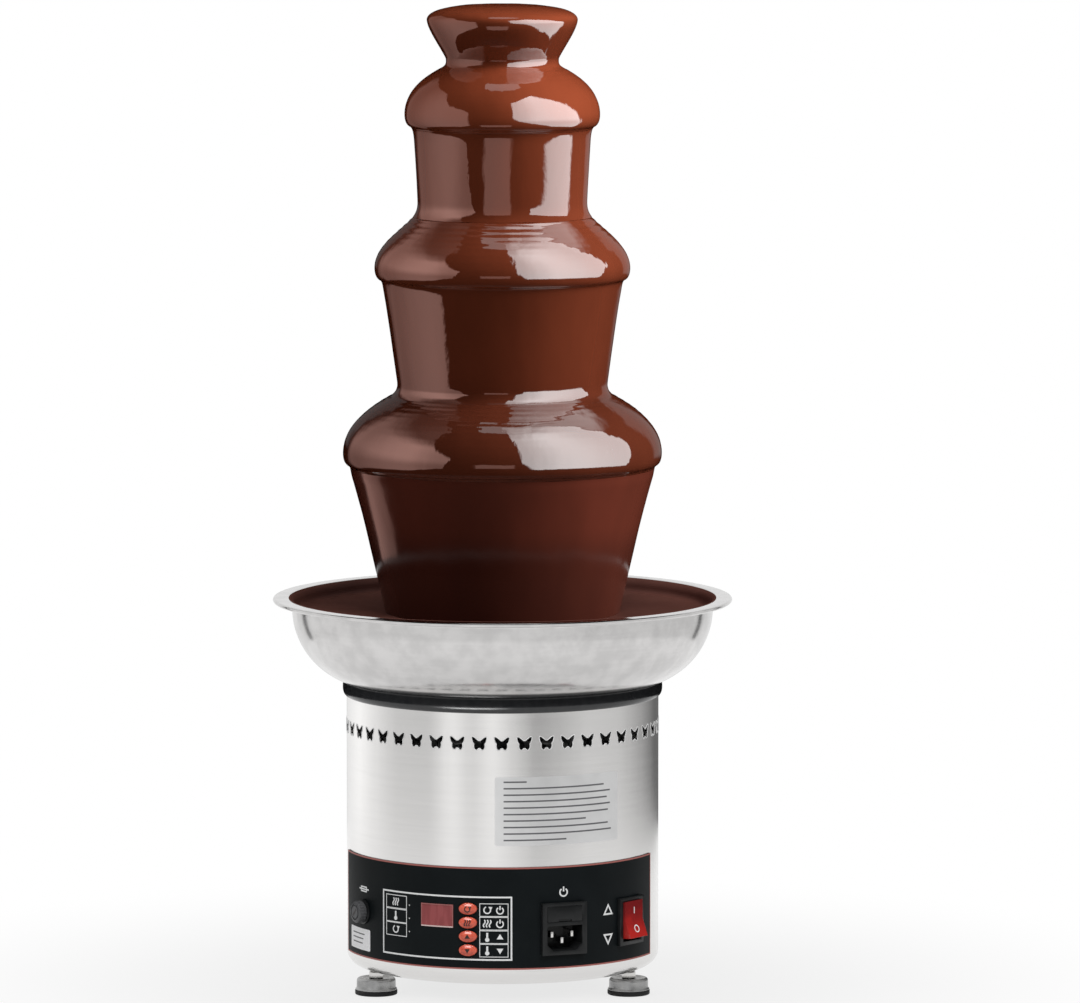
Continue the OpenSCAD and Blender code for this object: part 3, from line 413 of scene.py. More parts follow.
def bezier(p, count):
    """Points along the cubic curve that four corners give."""
    steps = [k / count for k in range(count + 1)]
    return [
        tuple(
            (1 - t) ** 3 * p[0][i] + 3 * (1 - t) ** 2 * t * p[1][i] + 3 * (1 - t) * t * t * p[2][i]
            + t ** 3 * p[3][i]
            for i in range(2)
        )
        for t in steps
    ]


def arc(centre, radius, first, last, count):
    """Points along an arc, from its first angle to its last, in degrees."""
    turns = [math.radians(first + (last - first) * k / count) for k in range(count + 1)]
    return [(centre[0] + radius * math.cos(a), centre[1] + radius * math.sin(a)) for a in turns]


def closed_mesh(work, name, sharp=None):
    """A mesh of what work holds, faces outwards, and smooth up to the sharp angle where one is given."""
    bmesh.ops.recalc_face_normals(work, faces=work.faces)
    mesh = bpy.data.meshes.new(name)
    work.to_mesh(mesh)
    work.free()
    if sharp:
        mesh.shade_smooth()
        mesh.set_sharp_from_angle(angle=math.radians(sharp))
    return mesh


# A radius below this is a pole, which is one point
POLE = 1e-6


def lathe(name, outline, count, centre=(0, 0), sharp=40):
    """Turn an outline of (radius, height) in mm about an upright axis at centre, poles closed."""
    work = bmesh.new()
    rows = []
    for radius, z in outline:
        if radius < POLE:
            rows.append([work.verts.new((centre[0] * MM, centre[1] * MM, z * MM))])
            continue
        row = ring_of_points(radius * MM, z * MM, count)
        rows.append([work.verts.new((x + centre[0] * MM, y + centre[1] * MM, h)) for x, y, h in row])
    loops = list(zip(rows, rows[1:]))
    if outline[0][0] > POLE or outline[-1][0] > POLE:
        loops.append((rows[-1], rows[0]))
    for low, high in loops:
        for k in range(count):
            n = (k + 1) % count
            corners = [low[k % len(low)], low[n % len(low)], high[n % len(high)], high[k % len(high)]]
            corners = [c for i, c in enumerate(corners) if c not in corners[:i]]
            if len(corners) > 2:
                work.faces.new(corners)
    return closed_mesh(work, name, sharp)


def finish(name, paint):
    """A material from a function that gives the Principled shader's socket values."""
    material = bpy.data.materials.new(name)
    start = blank(material)
    shader = start.node("ShaderNodeBsdfPrincipled", paint(start))
    start.node("ShaderNodeOutputMaterial", {"Surface": shader})
    return material


def fit(piece, material, body, slot, *nodes):
    """Finish a piece: its material, the body it rides on and the CAD nodes it stands for. Its slot is not
    used.
    """
    piece.data.materials.clear()
    piece.data.materials.append(material)
    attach(piece, body)
    if nodes:
        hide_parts(*nodes)


def grain(start, scale, detail=3.0, stretch=(1, 1, 1)):
    """Noise on the piece's own coordinates, in cycles per metre along each axis."""
    place = start.node("ShaderNodeTexCoord").out("Object")
    place = place.node("ShaderNodeMapping", {0: place, "Scale": tuple(scale * s for s in stretch)})
    return place.node("ShaderNodeTexNoise", {"Vector": place, "Scale": 1.0, "Detail": detail})


def bump(start, height, depth, strength):
    return start.node("ShaderNodeBump", {"Height": height, "Distance": depth, "Strength": strength})


def cloudy(scale, dark, light, rough, spread, metal=0.0):
    """A finish whose colour and roughness vary together, in soft clouds."""
    def paint(start):
        cloud = grain(start, scale)
        return {
            "Base Color": cloud.between(0.3, 0.7).pick(dark + (1,), light + (1,)),
            "Metallic": metal,
            "Roughness": cloud * spread + rough,
        }
    return paint


def rubber(start):
    pores = grain(start, 2600)
    dust = grain(start, 160)
    return {
        "Base Color": dust.between(0.45, 0.75).pick((0.010, 0.010, 0.011, 1), (0.022, 0.021, 0.020, 1)),
        "Roughness": pores * 0.2 + 0.55,
        "Specular IOR Level": 0.25,
        "Normal": bump(start, pores, 0.0002, 0.5),
    }


polished = cloudy(90, (0.66, 0.65, 0.63), (0.74, 0.73, 0.72), rough=0.10, spread=0.12, metal=1.0)
cap_steel = cloudy(120, (0.30, 0.30, 0.30), (0.38, 0.38, 0.375), rough=0.22, spread=0.10, metal=1.0)
polished_steel = finish("polished_steel", polished)
grey_steel = finish("grey_steel", cap_steel)
sole_rubber = finish("sole_rubber", rubber)
SOLE = [(0, 0.6), (6, 0.6), (6.4, 0), (9, 0), (9.4, 0.6), (11, 0.6), (11.4, 0), (13.2, 0)]
SOLE += [(13.6, 0.25), (13.8, 0.7), (13.8, 2.7), (13.6, 3.0), (0, 3.0)]
CAP = [(0, 3.0), (13.2, 3.0)] + arc((13.1, 3.5), 0.5, -90, 60, 5)
CAP += [(13.0, 4.2), (12.75, 5.0), (12.7, 8.4)] + arc((10.7, 9.0), 2.0, 0, 90, 8)
CAP += [(9.6, 11.0), (8.7, 10.75), (7.9, 10.4), (3.05, 10.4), (3.05, 5), (0, 5)]
STUD_R = 2.6
STUD = [(0, 5.2), (STUD_R, 5.2), (STUD_R, 38.4), (2.0, 39), (0, 39)]
THREAD_LOW = 15
THREAD_LENGTH = 23.4
HEX_R = 9 / math.sqrt(3)
HEXAGON = [(0, 10.5), (4.5, 10.5), (HEX_R, 11.0), (HEX_R, 14.4), (4.5, 14.9), (0, 14.9)]


def open_tree(name, counts, sizes):
    """A new node tree that takes a mesh, counts, sizes and a material. It gives the tree's input node."""
    tree = bpy.data.node_groups.new(name, "GeometryNodeTree")
    inputs = [("Geometry", "Geometry")] + [(count, "Int") for count in counts]
    inputs += [(size, "Float") for size in sizes] + [("Material", "Material")]
    for label, kind in inputs:
        tree.interface.new_socket(label, in_out="INPUT", socket_type=f"NodeSocket{kind}")
    tree.interface.new_socket("Geometry", in_out="OUTPUT", socket_type="NodeSocketGeometry")
    return Value(tree).node("NodeGroupInput")


def join_given(given, added):
    """What the tree adds, together with the mesh that it was given."""
    whole = given.node("GeometryNodeJoinGeometry", {"Geometry": added})
    given.tree.links.new(given.out("Geometry").socket, whole.socket.node.inputs[0])
    return whole


def close_tree(given, geometry):
    """End a tree in real geometry with the material that it was given."""
    real = given.node("GeometryNodeRealizeInstances", {"Geometry": geometry})
    coat = {"Geometry": real, "Material": given.out("Material")}
    given.node("NodeGroupOutput", {"Geometry": given.node("GeometryNodeSetMaterial", coat)})
    return given.tree


def thread_tree():
    """A screw thread: a ridge wound up a rod, by its radius, pitch and length."""
    given = open_tree("stud_thread", (), ("Radius", "Pitch", "Length", "Ridge"))
    radius = given.out("Radius")
    turns = given.math("DIVIDE", given.out("Length"), given.out("Pitch"))
    wound = given.node("GeometryNodeCurveSpiral", {
        "Resolution": 20, "Rotations": turns, "Start Radius": radius, "End Radius": radius,
        "Height": given.out("Length"),
    })
    edge = given.node("GeometryNodeCurvePrimitiveCircle", {"Resolution": 4, "Radius": given.out("Ridge")})
    swept = {"Curve": wound, "Profile Curve": edge, "Fill Caps": True}
    ridge = given.node("GeometryNodeCurveToMesh", swept)
    return close_tree(given, join_given(given, ridge))


def grow(piece, tree, **sizes):
    """Run a node tree on a piece with the sizes given, and keep the result as a plain mesh."""
    step = piece.modifiers.new(tree.name, "NODES")
    step.node_group = tree
    for item in tree.interface.items_tree:
        if item.in_out == "INPUT" and item.name in sizes:
            step[item.identifier] = sizes[item.name]
    graph = bpy.context.evaluated_depsgraph_get()
    made = bpy.data.meshes.new_from_object(piece.evaluated_get(graph))
    piece.modifiers.remove(step)
    made.name = piece.name
    piece.data = made


def shift(mesh, x, y, z):
    for vertex in mesh.vertices:
        vertex.co += Vector((x, y, z))


stud_thread = thread_tree()
for side, turn in FEET.items():
    x = FOOT_CIRCLE * math.sin(math.radians(turn))
    y = -FOOT_CIRCLE * math.cos(math.radians(turn))
    sole = show(f"sole_{side}", lathe(f"sole_{side}", SOLE, 64, (x, y)))
    fit(sole, sole_rubber, f"{side}_foot", "sole_rubber", f"foot_sole_{side}")
    cap = show(f"cap_{side}", lathe(f"cap_{side}", CAP, 64, (x, y)))
    fit(cap, grey_steel, f"{side}_foot", "brushed_steel", f"foot_cap_{side}")
    stud = show(f"stud_{side}", lathe(f"stud_{side}", STUD, 32))
    nut = lathe("nut", HEXAGON, 6)
    work = bmesh.new()
    work.from_mesh(stud.data)
    work.from_mesh(nut)
    work.to_mesh(stud.data)
    work.free()
    shift(stud.data, 0, 0, -THREAD_LOW * MM)
    grow(stud, stud_thread, Radius=STUD_R * MM, Pitch=1.0 * MM, Length=THREAD_LENGTH * MM, Ridge=0.4 * MM,
         Material=polished_steel)
    shift(stud.data, x * MM, y * MM, THREAD_LOW * MM)
    fit(stud, polished_steel, f"{side}_stud", "brushed_steel", f"foot_stud_{side}")


# Drum: a sheet of brushed stainless steel rolled into a cylinder, with a spun bottom edge. The butterfly
# vents are punched through it, and a pale wire round each cut edge is a painted highlight.
DRUM_R = 102.0
VENTS = 44
VENT_W = 10.0
VENT_H = 8.9
VENT_Z = 172.6
WING = [
    (0.05, 0.2), (0.18, 0.32), (0.32, 0.45), (0.44, 0.5), (0.5, 0.44), (0.48, 0.26), (0.43, 0.08),
    (0.35, -0.03), (0.37, -0.16), (0.36, -0.32), (0.28, -0.47), (0.17, -0.5), (0.1, -0.42), (0.05, -0.36),
]


def brushed(start, tint, rough, lines, mottle, stretch):
    """Brushed steel whose fine lines run round the axis: the noise is long round it and short up it."""
    place = own_place(start)
    turn = turn_of(place)
    up = place.out("Z") + off_axis(place)
    flat = place.node("ShaderNodeCombineXYZ", {0: turn * 2.5, 1: up * 3400.0})
    fine = flat.node("ShaderNodeTexNoise", {"Vector": flat, "Scale": 1.0, "Detail": 4.0})
    flat = place.node("ShaderNodeCombineXYZ", {0: turn * 1.2, 1: up * 300.0})
    broad = flat.node("ShaderNodeTexNoise", {"Vector": flat, "Scale": 1.0, "Detail": 2.0})
    dark = tuple(t * (1 - 0.06 * lines - 0.10 * mottle) for t in tint) + (1,)
    worn = (fine * 0.6 + broad * 0.4) * (1 - 0.7 * mottle) + grain(start, 75, 4.0) * (0.7 * mottle)
    return {
        "Base Color": worn.between(0.35, 0.65).pick(dark, tint + (1,)),
        "Metallic": 1.0,
        "Roughness": (fine * 0.08 + broad * 0.05) * lines + rough,
        "Normal": bump(start, fine, 0.00002, 0.3 * lines),
        "Anisotropic": stretch,
        "Anisotropic Rotation": 0.25,
    }


def drum_brushed(start):
    return brushed(start, (0.80, 0.79, 0.78), rough=0.17, lines=0.6, mottle=0.0, stretch=0.6)


drum_steel = finish("drum_steel", drum_brushed)


def dress(material, *nodes):
    """Give CAD nodes that keep their shape a finish of their own."""
    for name in nodes:
        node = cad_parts[name]
        node.data.materials.clear()
        node.data.materials.append(material)


dress(drum_steel, "base_shell")


def wall_point(turn, x, z, out):
    """A point off the drum's wall, from mm: x to the right and out from it, at an angle and height."""
    a = math.radians(turn)
    r = DRUM_R + out
    return Vector((r * math.sin(a) + x * math.cos(a), x * math.sin(a) - r * math.cos(a), z)) * MM


def vent_tree():
    """Cut edges of the vents, which carry a painted highlight: one outline given as a loop, made a slim
    wire and set round the axis.
    """
    given = open_tree("vent_edges", ("Count",), ("Edge",))
    loop = given.node("GeometryNodeMeshToCurve", {"Mesh": given.out("Geometry")})
    wire = given.node("GeometryNodeCurvePrimitiveCircle", {"Resolution": 6, "Radius": given.out("Edge")})
    edge = given.node("GeometryNodeCurveToMesh", {"Curve": loop, "Profile Curve": wire})
    spots = given.node("GeometryNodeMeshLine", {"Count": given.out("Count"), "Offset": (0, 0, 0)})
    step = given.math("DIVIDE", 2 * math.pi, given.out("Count"))
    turn = given.node("GeometryNodeInputIndex") * step
    turned = given.node("ShaderNodeCombineXYZ", {2: turn})
    placing = {"Points": spots, "Instance": edge, "Rotation": turned}
    return close_tree(given, given.node("GeometryNodeInstanceOnPoints", placing))


def dull(tint, metal, rough, scale):
    """A plain cloudy finish, by its lightest colour."""
    dark = tuple(t * 0.82 for t in tint)
    return cloudy(scale, dark, tint, rough, spread=0.15, metal=metal)


def round_wall(turn, z, radius):
    """A point on a round wall about the axis, from mm."""
    a = math.radians(turn)
    return Vector((radius * math.sin(a), -radius * math.cos(a), z)) * MM


right_half = [(x * VENT_W, y * VENT_H) for x, y in WING]
outline = right_half + [(-x, y) for x, y in reversed(right_half)]
outline = [round_wall(math.degrees(x / DRUM_R), VENT_Z + y, DRUM_R - 0.02) for x, y in outline]
vent_loop = bpy.data.meshes.new("vent_edges")
count = len(outline)
vent_loop.from_pydata([tuple(p) for p in outline], [(k, (k + 1) % count) for k in range(count)], [])
vent_edges = show("vent_edges", vent_loop)
# The pale wire round each vent is a painted highlight on its cut edge
painted_edge_highlight = finish("painted_edge_highlight", dull((0.86, 0.86, 0.86), 0.2, 0.35, 200))
grow(vent_edges, vent_tree(), Count=VENTS, Edge=0.32 * MM, Material=painted_edge_highlight)
vent_edges.data.shade_smooth()
fit(vent_edges, painted_edge_highlight, "base", "brushed_steel")


# Control panel: a black printed film on the drum's front, with a thin red border and white line work.
# The words of its labels are left off, and plain signs stand in their boxes.
PANEL_R = 102.85
PANEL_TURN = -4.5
PANEL_SPAN = 148.0
PANEL_LOW = 25.7
PANEL_TOP = 92.2
INK_T = 0.07


def film(start):
    tooth = grain(start, 3800)
    worn = grain(start, 45).between(0.3, 0.8)
    return {
        "Base Color": worn.pick((0.0040, 0.0058, 0.0066, 1), (0.0058, 0.0080, 0.0090, 1)),
        "Roughness": tooth * 0.15 + 0.42,
        "Specular IOR Level": 0.12,
        "Normal": bump(start, tooth, 0.00005, 0.4),
    }


def print_and_highlight(colour):
    def paint(start):
        speckle = grain(start, 1500)
        shade = tuple(c * 0.86 for c in colour) + (1,)
        return {
            "Base Color": speckle.between(0.35, 0.6).pick(shade, colour + (1,)),
            "Roughness": speckle * 0.2 + 0.45,
        }
    return paint


panel_film = finish("panel_film", film)
white_ink = finish("white_ink", print_and_highlight((0.74, 0.75, 0.75)))
red_ink = finish("red_ink", print_and_highlight((0.34, 0.105, 0.09)))
dress(panel_film, "control_panel")


def stroke(points, width, closed=False):
    """Quads along a line of (angle-wise mm, height mm) points, with mitred joins."""
    count = len(points)
    edges = []
    for k, p in enumerate(points):
        ahead = points[(k + 1) % count] if closed or k + 1 < count else p
        behind = points[k - 1] if closed or k > 0 else p
        d1 = Vector((p[0] - behind[0], p[1] - behind[1]))
        d2 = Vector((ahead[0] - p[0], ahead[1] - p[1]))
        d1 = d1.normalized() if d1.length > 0 else d2.normalized()
        d2 = d2.normalized() if d2.length > 0 else d1
        n1 = Vector((-d1.y, d1.x))
        side = n1 + Vector((-d2.y, d2.x))
        side = side.normalized() if side.length > 1e-6 else n1
        side *= 0.5 * width / max(side.dot(n1), 0.4)
        edges.append(((p[0] - side.x, p[1] - side.y), (p[0] + side.x, p[1] + side.y)))
    last = count if closed else count - 1
    spans = [(edges[k], edges[(k + 1) % count]) for k in range(last)]
    return [[a[0], b[0], b[1], a[1]] for a, b in spans]


def box_line(left, low, right, top, width):
    return stroke([(left, low), (right, low), (right, top), (left, top)], width, closed=True)


def round_line(x, z, radius, width, count, first=0, last=360):
    turns = [math.radians(first + (last - first) * k / count) for k in range(count + 1)]
    points = [(x + radius * math.sin(a), z + radius * math.cos(a)) for a in turns]
    if last - first == 360:
        return stroke(points[:-1], width, closed=True)
    return stroke(points, width)


def doubled(work):
    """Draw all faces of work out into solids, and give the points to be moved off."""
    made = bmesh.ops.extrude_face_region(work, geom=list(work.faces))["geom"]
    return {part for part in made if isinstance(part, bmesh.types.BMVert)}


# Shapes on a round wall are cut at this spacing, in mm, so that they bend with it
SLICE = 2


def wrap(name, shapes, radius, thick):
    """Flat shapes in (angle-wise mm, height mm) laid on a round wall as slim solids."""
    work = bmesh.new()
    for shape in shapes:
        work.faces.new([work.verts.new((x, 0, z)) for x, z in shape])
    bmesh.ops.triangulate(work, faces=work.faces)
    low = min(v.co.x for v in work.verts)
    high = max(v.co.x for v in work.verts)
    for k in range(1, int((high - low) / SLICE) + 1):
        whole = list(work.verts) + list(work.edges) + list(work.faces)
        cut = (low + SLICE * k, 0, 0)
        bmesh.ops.bisect_plane(work, geom=whole, dist=1e-5, plane_co=cut, plane_no=(1, 0, 0))
    for face in work.faces:
        if face.normal.y > 0:
            face.normal_flip()
    lifted = doubled(work)
    for vertex in work.verts:
        a = vertex.co.x / radius
        r = radius + (thick if vertex in lifted else 0)
        vertex.co = Vector((r * math.sin(a), -r * math.cos(a), vertex.co.z)) * MM
    return show(name, closed_mesh(work, name))


def around(turn):
    """The way round the panel from the front to an angle, in mm."""
    return math.radians(turn) * PANEL_R


BORDER = 1.0
left = around(PANEL_TURN - PANEL_SPAN / 2) + 0.5 * BORDER
right = around(PANEL_TURN + PANEL_SPAN / 2) - 0.5 * BORDER
border = box_line(left, PANEL_LOW + 0.5 * BORDER, right, PANEL_TOP - 0.5 * BORDER, BORDER)
panel_border = wrap("panel_border", border, PANEL_R, INK_T)
fit(panel_border, red_ink, "base", "panel_film")


# The signs: heat waves, a thermometer, a turning arrow, arrows up and down, an on-off sign and a fuse.
# Each is drawn in lines about its middle, about four millimetres high, and then placed at its own size.
SIGN_W = 0.6


def waves():
    lines = []
    for k in (-1.4, 0, 1.4):
        lift = [(-1.8 + 0.45 * n) for n in range(9)]
        lines += stroke([(k + 0.45 * math.sin(1.7 * h), h) for h in lift], SIGN_W)
    return lines


def disc(radius, z=0):
    """A round spot of twelve corners."""
    return [(radius * math.sin(k * 0.524), radius * math.cos(k * 0.524) + z) for k in range(12)]


def thermometer():
    return [disc(1.05, -1.25)] + stroke([(0, -0.6), (0, 2.1)], 0.95)


def arrow(way):
    return [[(-1.6, -1.0 * way), (1.6, -1.0 * way), (0, 1.6 * way)]]


def turning():
    return round_line(0, 0, 1.6, SIGN_W, 18, 70, 340) + [[(0.5, 1.6), (2.5, 1.5), (1.75, -0.1)]]


def on_off():
    return round_line(0, -0.2, 1.6, SIGN_W, 20, 35, 325) + stroke([(0, 0.1), (0, 2.1)], SIGN_W)


def fuse_sign():
    return box_line(-2.4, -0.95, 2.4, 0.95, SIGN_W) + stroke([(-4.2, 0), (4.2, 0)], SIGN_W)


def placed(shapes, x, z, size):
    """Shapes drawn about their middle, moved to a place and set to a size."""
    return [[(x + size * u, z + size * v) for u, v in shape] for shape in shapes]


FRAME_LINE = 1.05
BOX_LINE = 0.45
SIGN_SIZE = 1.35
lines = box_line(around(-48.3), 32.2, around(3.4), 72.9, FRAME_LINE)
LEFT_ROWS = [(66.3, waves), (57.3, thermometer), (48.4, turning)]
for z, sign in LEFT_ROWS:
    lines += box_line(around(-47.0) + 0.6, z - 4.2, around(-36.9), z + 4.2, BOX_LINE)
    lines += placed(sign(), around(-42.0), z, SIGN_SIZE)
RIGHT_ROWS = [(64.6, turning, 0), (55.8, waves, 0), (47.0, thermometer, 1), (38.2, thermometer, -1)]
for z, sign, way in RIGHT_ROWS:
    lines += box_line(around(-8.0), z - 4.1, around(2.2), z + 4.1, BOX_LINE)
    lines += placed(sign(), around(-5.3), z, SIGN_SIZE)
    lines += placed(arrow(way) if way else on_off(), around(-0.7), z, SIGN_SIZE)
LAMP_ROWS = [65.0, 56.4, 47.8]
for z in LAMP_ROWS:
    lines += placed([disc(0.42)], around(-35.6), z, 1.0)
lines += placed(fuse_sign(), around(-61), 70.5, 1.5)
lines += placed(on_off(), around(22.7), 75.5, 1.6)
for z, way in ((60.9, 1), (42.0, -1)):
    corners = [(-3.3, -2.7 * way), (3.3, -2.7 * way), (0, 3.1 * way)]
    lines += placed(stroke(corners, 1.1, closed=True), around(41.8), z, 1.0)
panel_lines = wrap("panel_lines", lines, PANEL_R, INK_T)
fit(panel_lines, white_ink, "base", "panel_film")


# Stickers: a small white label on the panel and a silver one on the drum, both of thin foil with rounded
# corners. They carry grey rules where words would be.
def card(left, low, right, top, corner):
    """A rectangle with rounded corners."""
    spots = [(right - corner, top - corner, 90), (left + corner, top - corner, 180)]
    spots += [(left + corner, low + corner, 270), (right - corner, low + corner, 360)]
    return [p for x, z, last in spots for p in arc((x, z), corner, last - 90, last, 5)]


silver_foil = cloudy(60, (0.66, 0.66, 0.66), (0.72, 0.72, 0.72), rough=0.28, spread=0.1, metal=0.75)
white_label = wrap("white_label", [card(around(-73), 30.2, around(-56.5), 44.3, 1.0)], PANEL_R, 0.1)
fit(white_label, finish("white_label", print_and_highlight((0.82, 0.82, 0.83))), "base", "panel_film")
# The way round the drum for each degree, in mm
drum_mm = DRUM_R * math.pi / 180
silver_card = card(-2.6 * drum_mm, 106.2, 46.9 * drum_mm, 150.8, 1.5)
silver_label = wrap("silver_label", [silver_card], DRUM_R, 0.12)
fit(silver_label, finish("silver_foil", silver_foil), "base", "brushed_steel")
grey_ink = finish("grey_ink", print_and_highlight((0.11, 0.11, 0.115)))
RULE_ENDS = [9, 40, 43, 41.5, 43, 42, 32, 42, 43.5, 24]
rules = []
for row, end in enumerate(RULE_ENDS):
    z = 147.6 - 4.2 * row
    rules += stroke([(0.6 * drum_mm, z), (end * drum_mm, z)], 1.0)
fit(wrap("silver_label_rules", rules, DRUM_R + 0.1, 0.06), grey_ink, "base", "brushed_steel")
rules = []
for z, end in ((40.6, -60.5), (37.6, -61.5), (34.6, -62)):
    rules += stroke([(around(-70.5), z), (around(end), z)], 0.8)
fit(wrap("white_label_rules", rules, PANEL_R + 0.08, 0.06), grey_ink, "base", "panel_film")


# Display: a red filter window with a paler moulded edge, pushed in from behind the panel. A pale strip on
# the ledge under it is a painted highlight.
DISPLAY_TURN = -24.15
DISPLAY_HALF = 11.0
DISPLAY_LOW = 52.9
DISPLAY_TOP = 67.1


def red_window(start):
    dots = grain(start, 260, 1.0, (1, 1, 0.15))
    return {
        "Base Color": dots.between(0.35, 0.65).pick((0.225, 0.050, 0.052, 1), (0.275, 0.066, 0.068, 1)),
        "Roughness": dots * 0.1 + 0.22,
        "Specular IOR Level": 0.2,
    }


dress(finish("red_window", red_window), "display_window")
x = around(DISPLAY_TURN)
rim = box_line(x - DISPLAY_HALF, DISPLAY_LOW, x + DISPLAY_HALF, DISPLAY_TOP, 0.7)
display_rim = wrap("display_rim", rim, PANEL_R + 0.15, 0.2)
fit(display_rim, finish("display_rim", print_and_highlight((0.30, 0.10, 0.095))), "base", "display_red")
# A pale strip along the ledge under the window is a painted highlight
ledge = stroke([(x - 11.2, DISPLAY_LOW), (x + 11.2, DISPLAY_LOW)], 0.8)
display_ledge_highlight = wrap("display_ledge_highlight", ledge, PANEL_R + 0.2, 0.2)
fit(display_ledge_highlight, finish("display_ledge_highlight", print_and_highlight((0.62, 0.48, 0.46))), "base", "display_red")


# Buttons: four glossy moulded caps of coral red, oval, with a raised edge and a black sign on each. Each
# slides in its hole in the panel and presses a key on the board behind it.
BUTTON_TURN = -12.3
BUTTON_W = 11.9
BUTTON_H = 7.5
OVAL_SIDES = 40


def oval_lathe(name, turn, z, outline):
    """An oval button from rows of (edge inset, out from the wall), closed at both ends."""
    work = bmesh.new()
    rows = []
    for inset, out in outline:
        half_w = max(BUTTON_W / 2 - inset, 0.01)
        half_h = max(BUTTON_H / 2 - inset * BUTTON_H / BUTTON_W, 0.01)
        turns = [2 * math.pi * k / OVAL_SIDES for k in range(OVAL_SIDES)]
        edge = [(half_w * math.cos(a), z + half_h * math.sin(a)) for a in turns]
        rows.append([work.verts.new(wall_point(turn, x, height, out)) for x, height in edge])
    for low, high in zip(rows, rows[1:]):
        for k in range(OVAL_SIDES):
            n = (k + 1) % OVAL_SIDES
            work.faces.new([low[k], low[n], high[n], high[k]])
    work.faces.new(rows[0])
    work.faces.new(rows[-1])
    return closed_mesh(work, name, sharp=50)


def plate_on_wall(name, shapes, turn, out, thick):
    """Flat shapes in local (right mm, height mm), as slim solids on a plane off the wall."""
    work = bmesh.new()
    for shape in shapes:
        work.faces.new([work.verts.new(wall_point(turn, x, z, out)) for x, z in shape])
    a = math.radians(turn)
    away = Vector((math.sin(a), -math.cos(a), 0)) * thick * MM
    for vertex in doubled(work):
        vertex.co += away
    return show(name, closed_mesh(work, name))


gloss_red = cloudy(350, (0.55, 0.085, 0.05), (0.66, 0.12, 0.07), rough=0.16, spread=0.06)
button_red = finish("button_red", gloss_red)
black_print_and_shade = finish("black_print_and_shade", print_and_highlight((0.012, 0.007, 0.006)))
BUTTON_ROWS = [(6.0, -14), (4.6, -14), (4.6, -3.4), (0, -3.4), (0, 1.5), (0.12, 1.95), (0.5, 2.25)]
BUTTON_ROWS += [(0.8, 2.3), (1.1, 2.2), (1.5, 2.35), (2.4, 2.8), (3.4, 3.1), (4.4, 3.25), (5.9, 3.3)]
BUTTONS = [
    ("motor", 65.2, turning()), ("heat", 56.2, waves()), ("up", 47.2, arrow(1)), ("down", 38.2, arrow(-1))
]
for name, z, sign in BUTTONS:
    cap = show(f"{name}_cap", oval_lathe(f"{name}_cap", BUTTON_TURN, z, BUTTON_ROWS))
    fit(cap, button_red, f"{name}_button", "button_red", f"button_{name}")
    mark = plate_on_wall(f"{name}_sign", placed(sign, 0, z, 1.1), BUTTON_TURN, 3.0, 0.36)
    fit(mark, black_print_and_shade, f"{name}_button", "button_red")


# Inlet: a moulded black appliance inlet with three flat pins in its cavity and a fuse drawer above it.
# The moulding is pushed in from the front and has softly rounded edges.
def moulded(start):
    tooth = grain(start, 2200)
    cloud = grain(start, 120)
    black = (0.0085, 0.0092, 0.0096, 1)
    worn = (0.0135, 0.0142, 0.0148, 1)
    return {
        "Base Color": cloud.between(0.3, 0.8).pick(black, worn),
        "Roughness": tooth * 0.14 + 0.30,
        "Specular IOR Level": 0.3,
        "Normal": bump(start, tooth, 0.00008, 0.4),
    }


def softened(name, node, width):
    """A copy of a CAD node with its flat faces joined up and its edges rounded."""
    work = bmesh.new()
    work.from_mesh(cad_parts[node].data)
    bmesh.ops.remove_doubles(work, verts=work.verts, dist=1e-6)
    bmesh.ops.dissolve_limit(work, angle_limit=math.radians(1), verts=work.verts, edges=work.edges)
    mesh = bpy.data.meshes.new(name)
    work.to_mesh(mesh)
    work.free()
    piece = show(name, mesh)
    edge = piece.modifiers.new("edge", "BEVEL")
    edge.width = width * MM
    edge.segments = 3
    edge.limit_method = "ANGLE"
    edge.angle_limit = math.radians(30)
    graph = bpy.context.evaluated_depsgraph_get()
    piece.data = bpy.data.meshes.new_from_object(piece.evaluated_get(graph))
    piece.modifiers.remove(edge)
    piece.data.shade_smooth()
    piece.data.set_sharp_from_angle(angle=math.radians(35))
    return piece


black_plastic = finish("black_plastic", moulded)
fit(softened("inlet_moulding", "inlet_body", 0.5), black_plastic, "base", "black_plastic", "inlet_body")
drawer = softened("drawer_moulding", "fuse_drawer", 0.4)
fit(drawer, black_plastic, "drawer", "black_plastic", "fuse_drawer")
pin_metal = finish("pin_metal", polished)
fit(softened("pin_blades", "inlet_pins", 0.35), pin_metal, "base", "pin_metal", "inlet_pins")


# Switch: a red rocker in a black snap-in frame. The rocker turns on two side pins, its upper half is
# pressed in, and the on and off signs are printed white on its two faces.
SWITCH_TURN = 53.5
SWITCH_Z = 51.7
ROCKER_TILT = math.radians(10)
ROCKER_PIVOT = -1.5
ROCKER_FRONT = 6.1


def rocker_plastic(start):
    """Clear red, with painted shade that darkens its upper half, which is pressed in further."""
    cloud = grain(start, 160) * 0.3
    # Painted shade: the upper half, which is pressed in, takes the darker red
    painted_shade_upper = (cloud + own_place(start).out("Z") * 20.0).between(0.96, 1.40)
    return {
        "Base Color": painted_shade_upper.pick((0.44, 0.022, 0.018, 1), (0.17, 0.012, 0.013, 1)),
        "Roughness": cloud * 0.2 + 0.14,
    }


surround = softened("switch_surround", "switch_frame", 0.4)
fit(surround, black_plastic, "base", "black_plastic", "switch_frame")
rocker = softened("rocker_moulding", "switch_rocker", 0.5)
fit(rocker, finish("rocker_red", rocker_plastic), "rocker", "rocker_red", "switch_rocker")


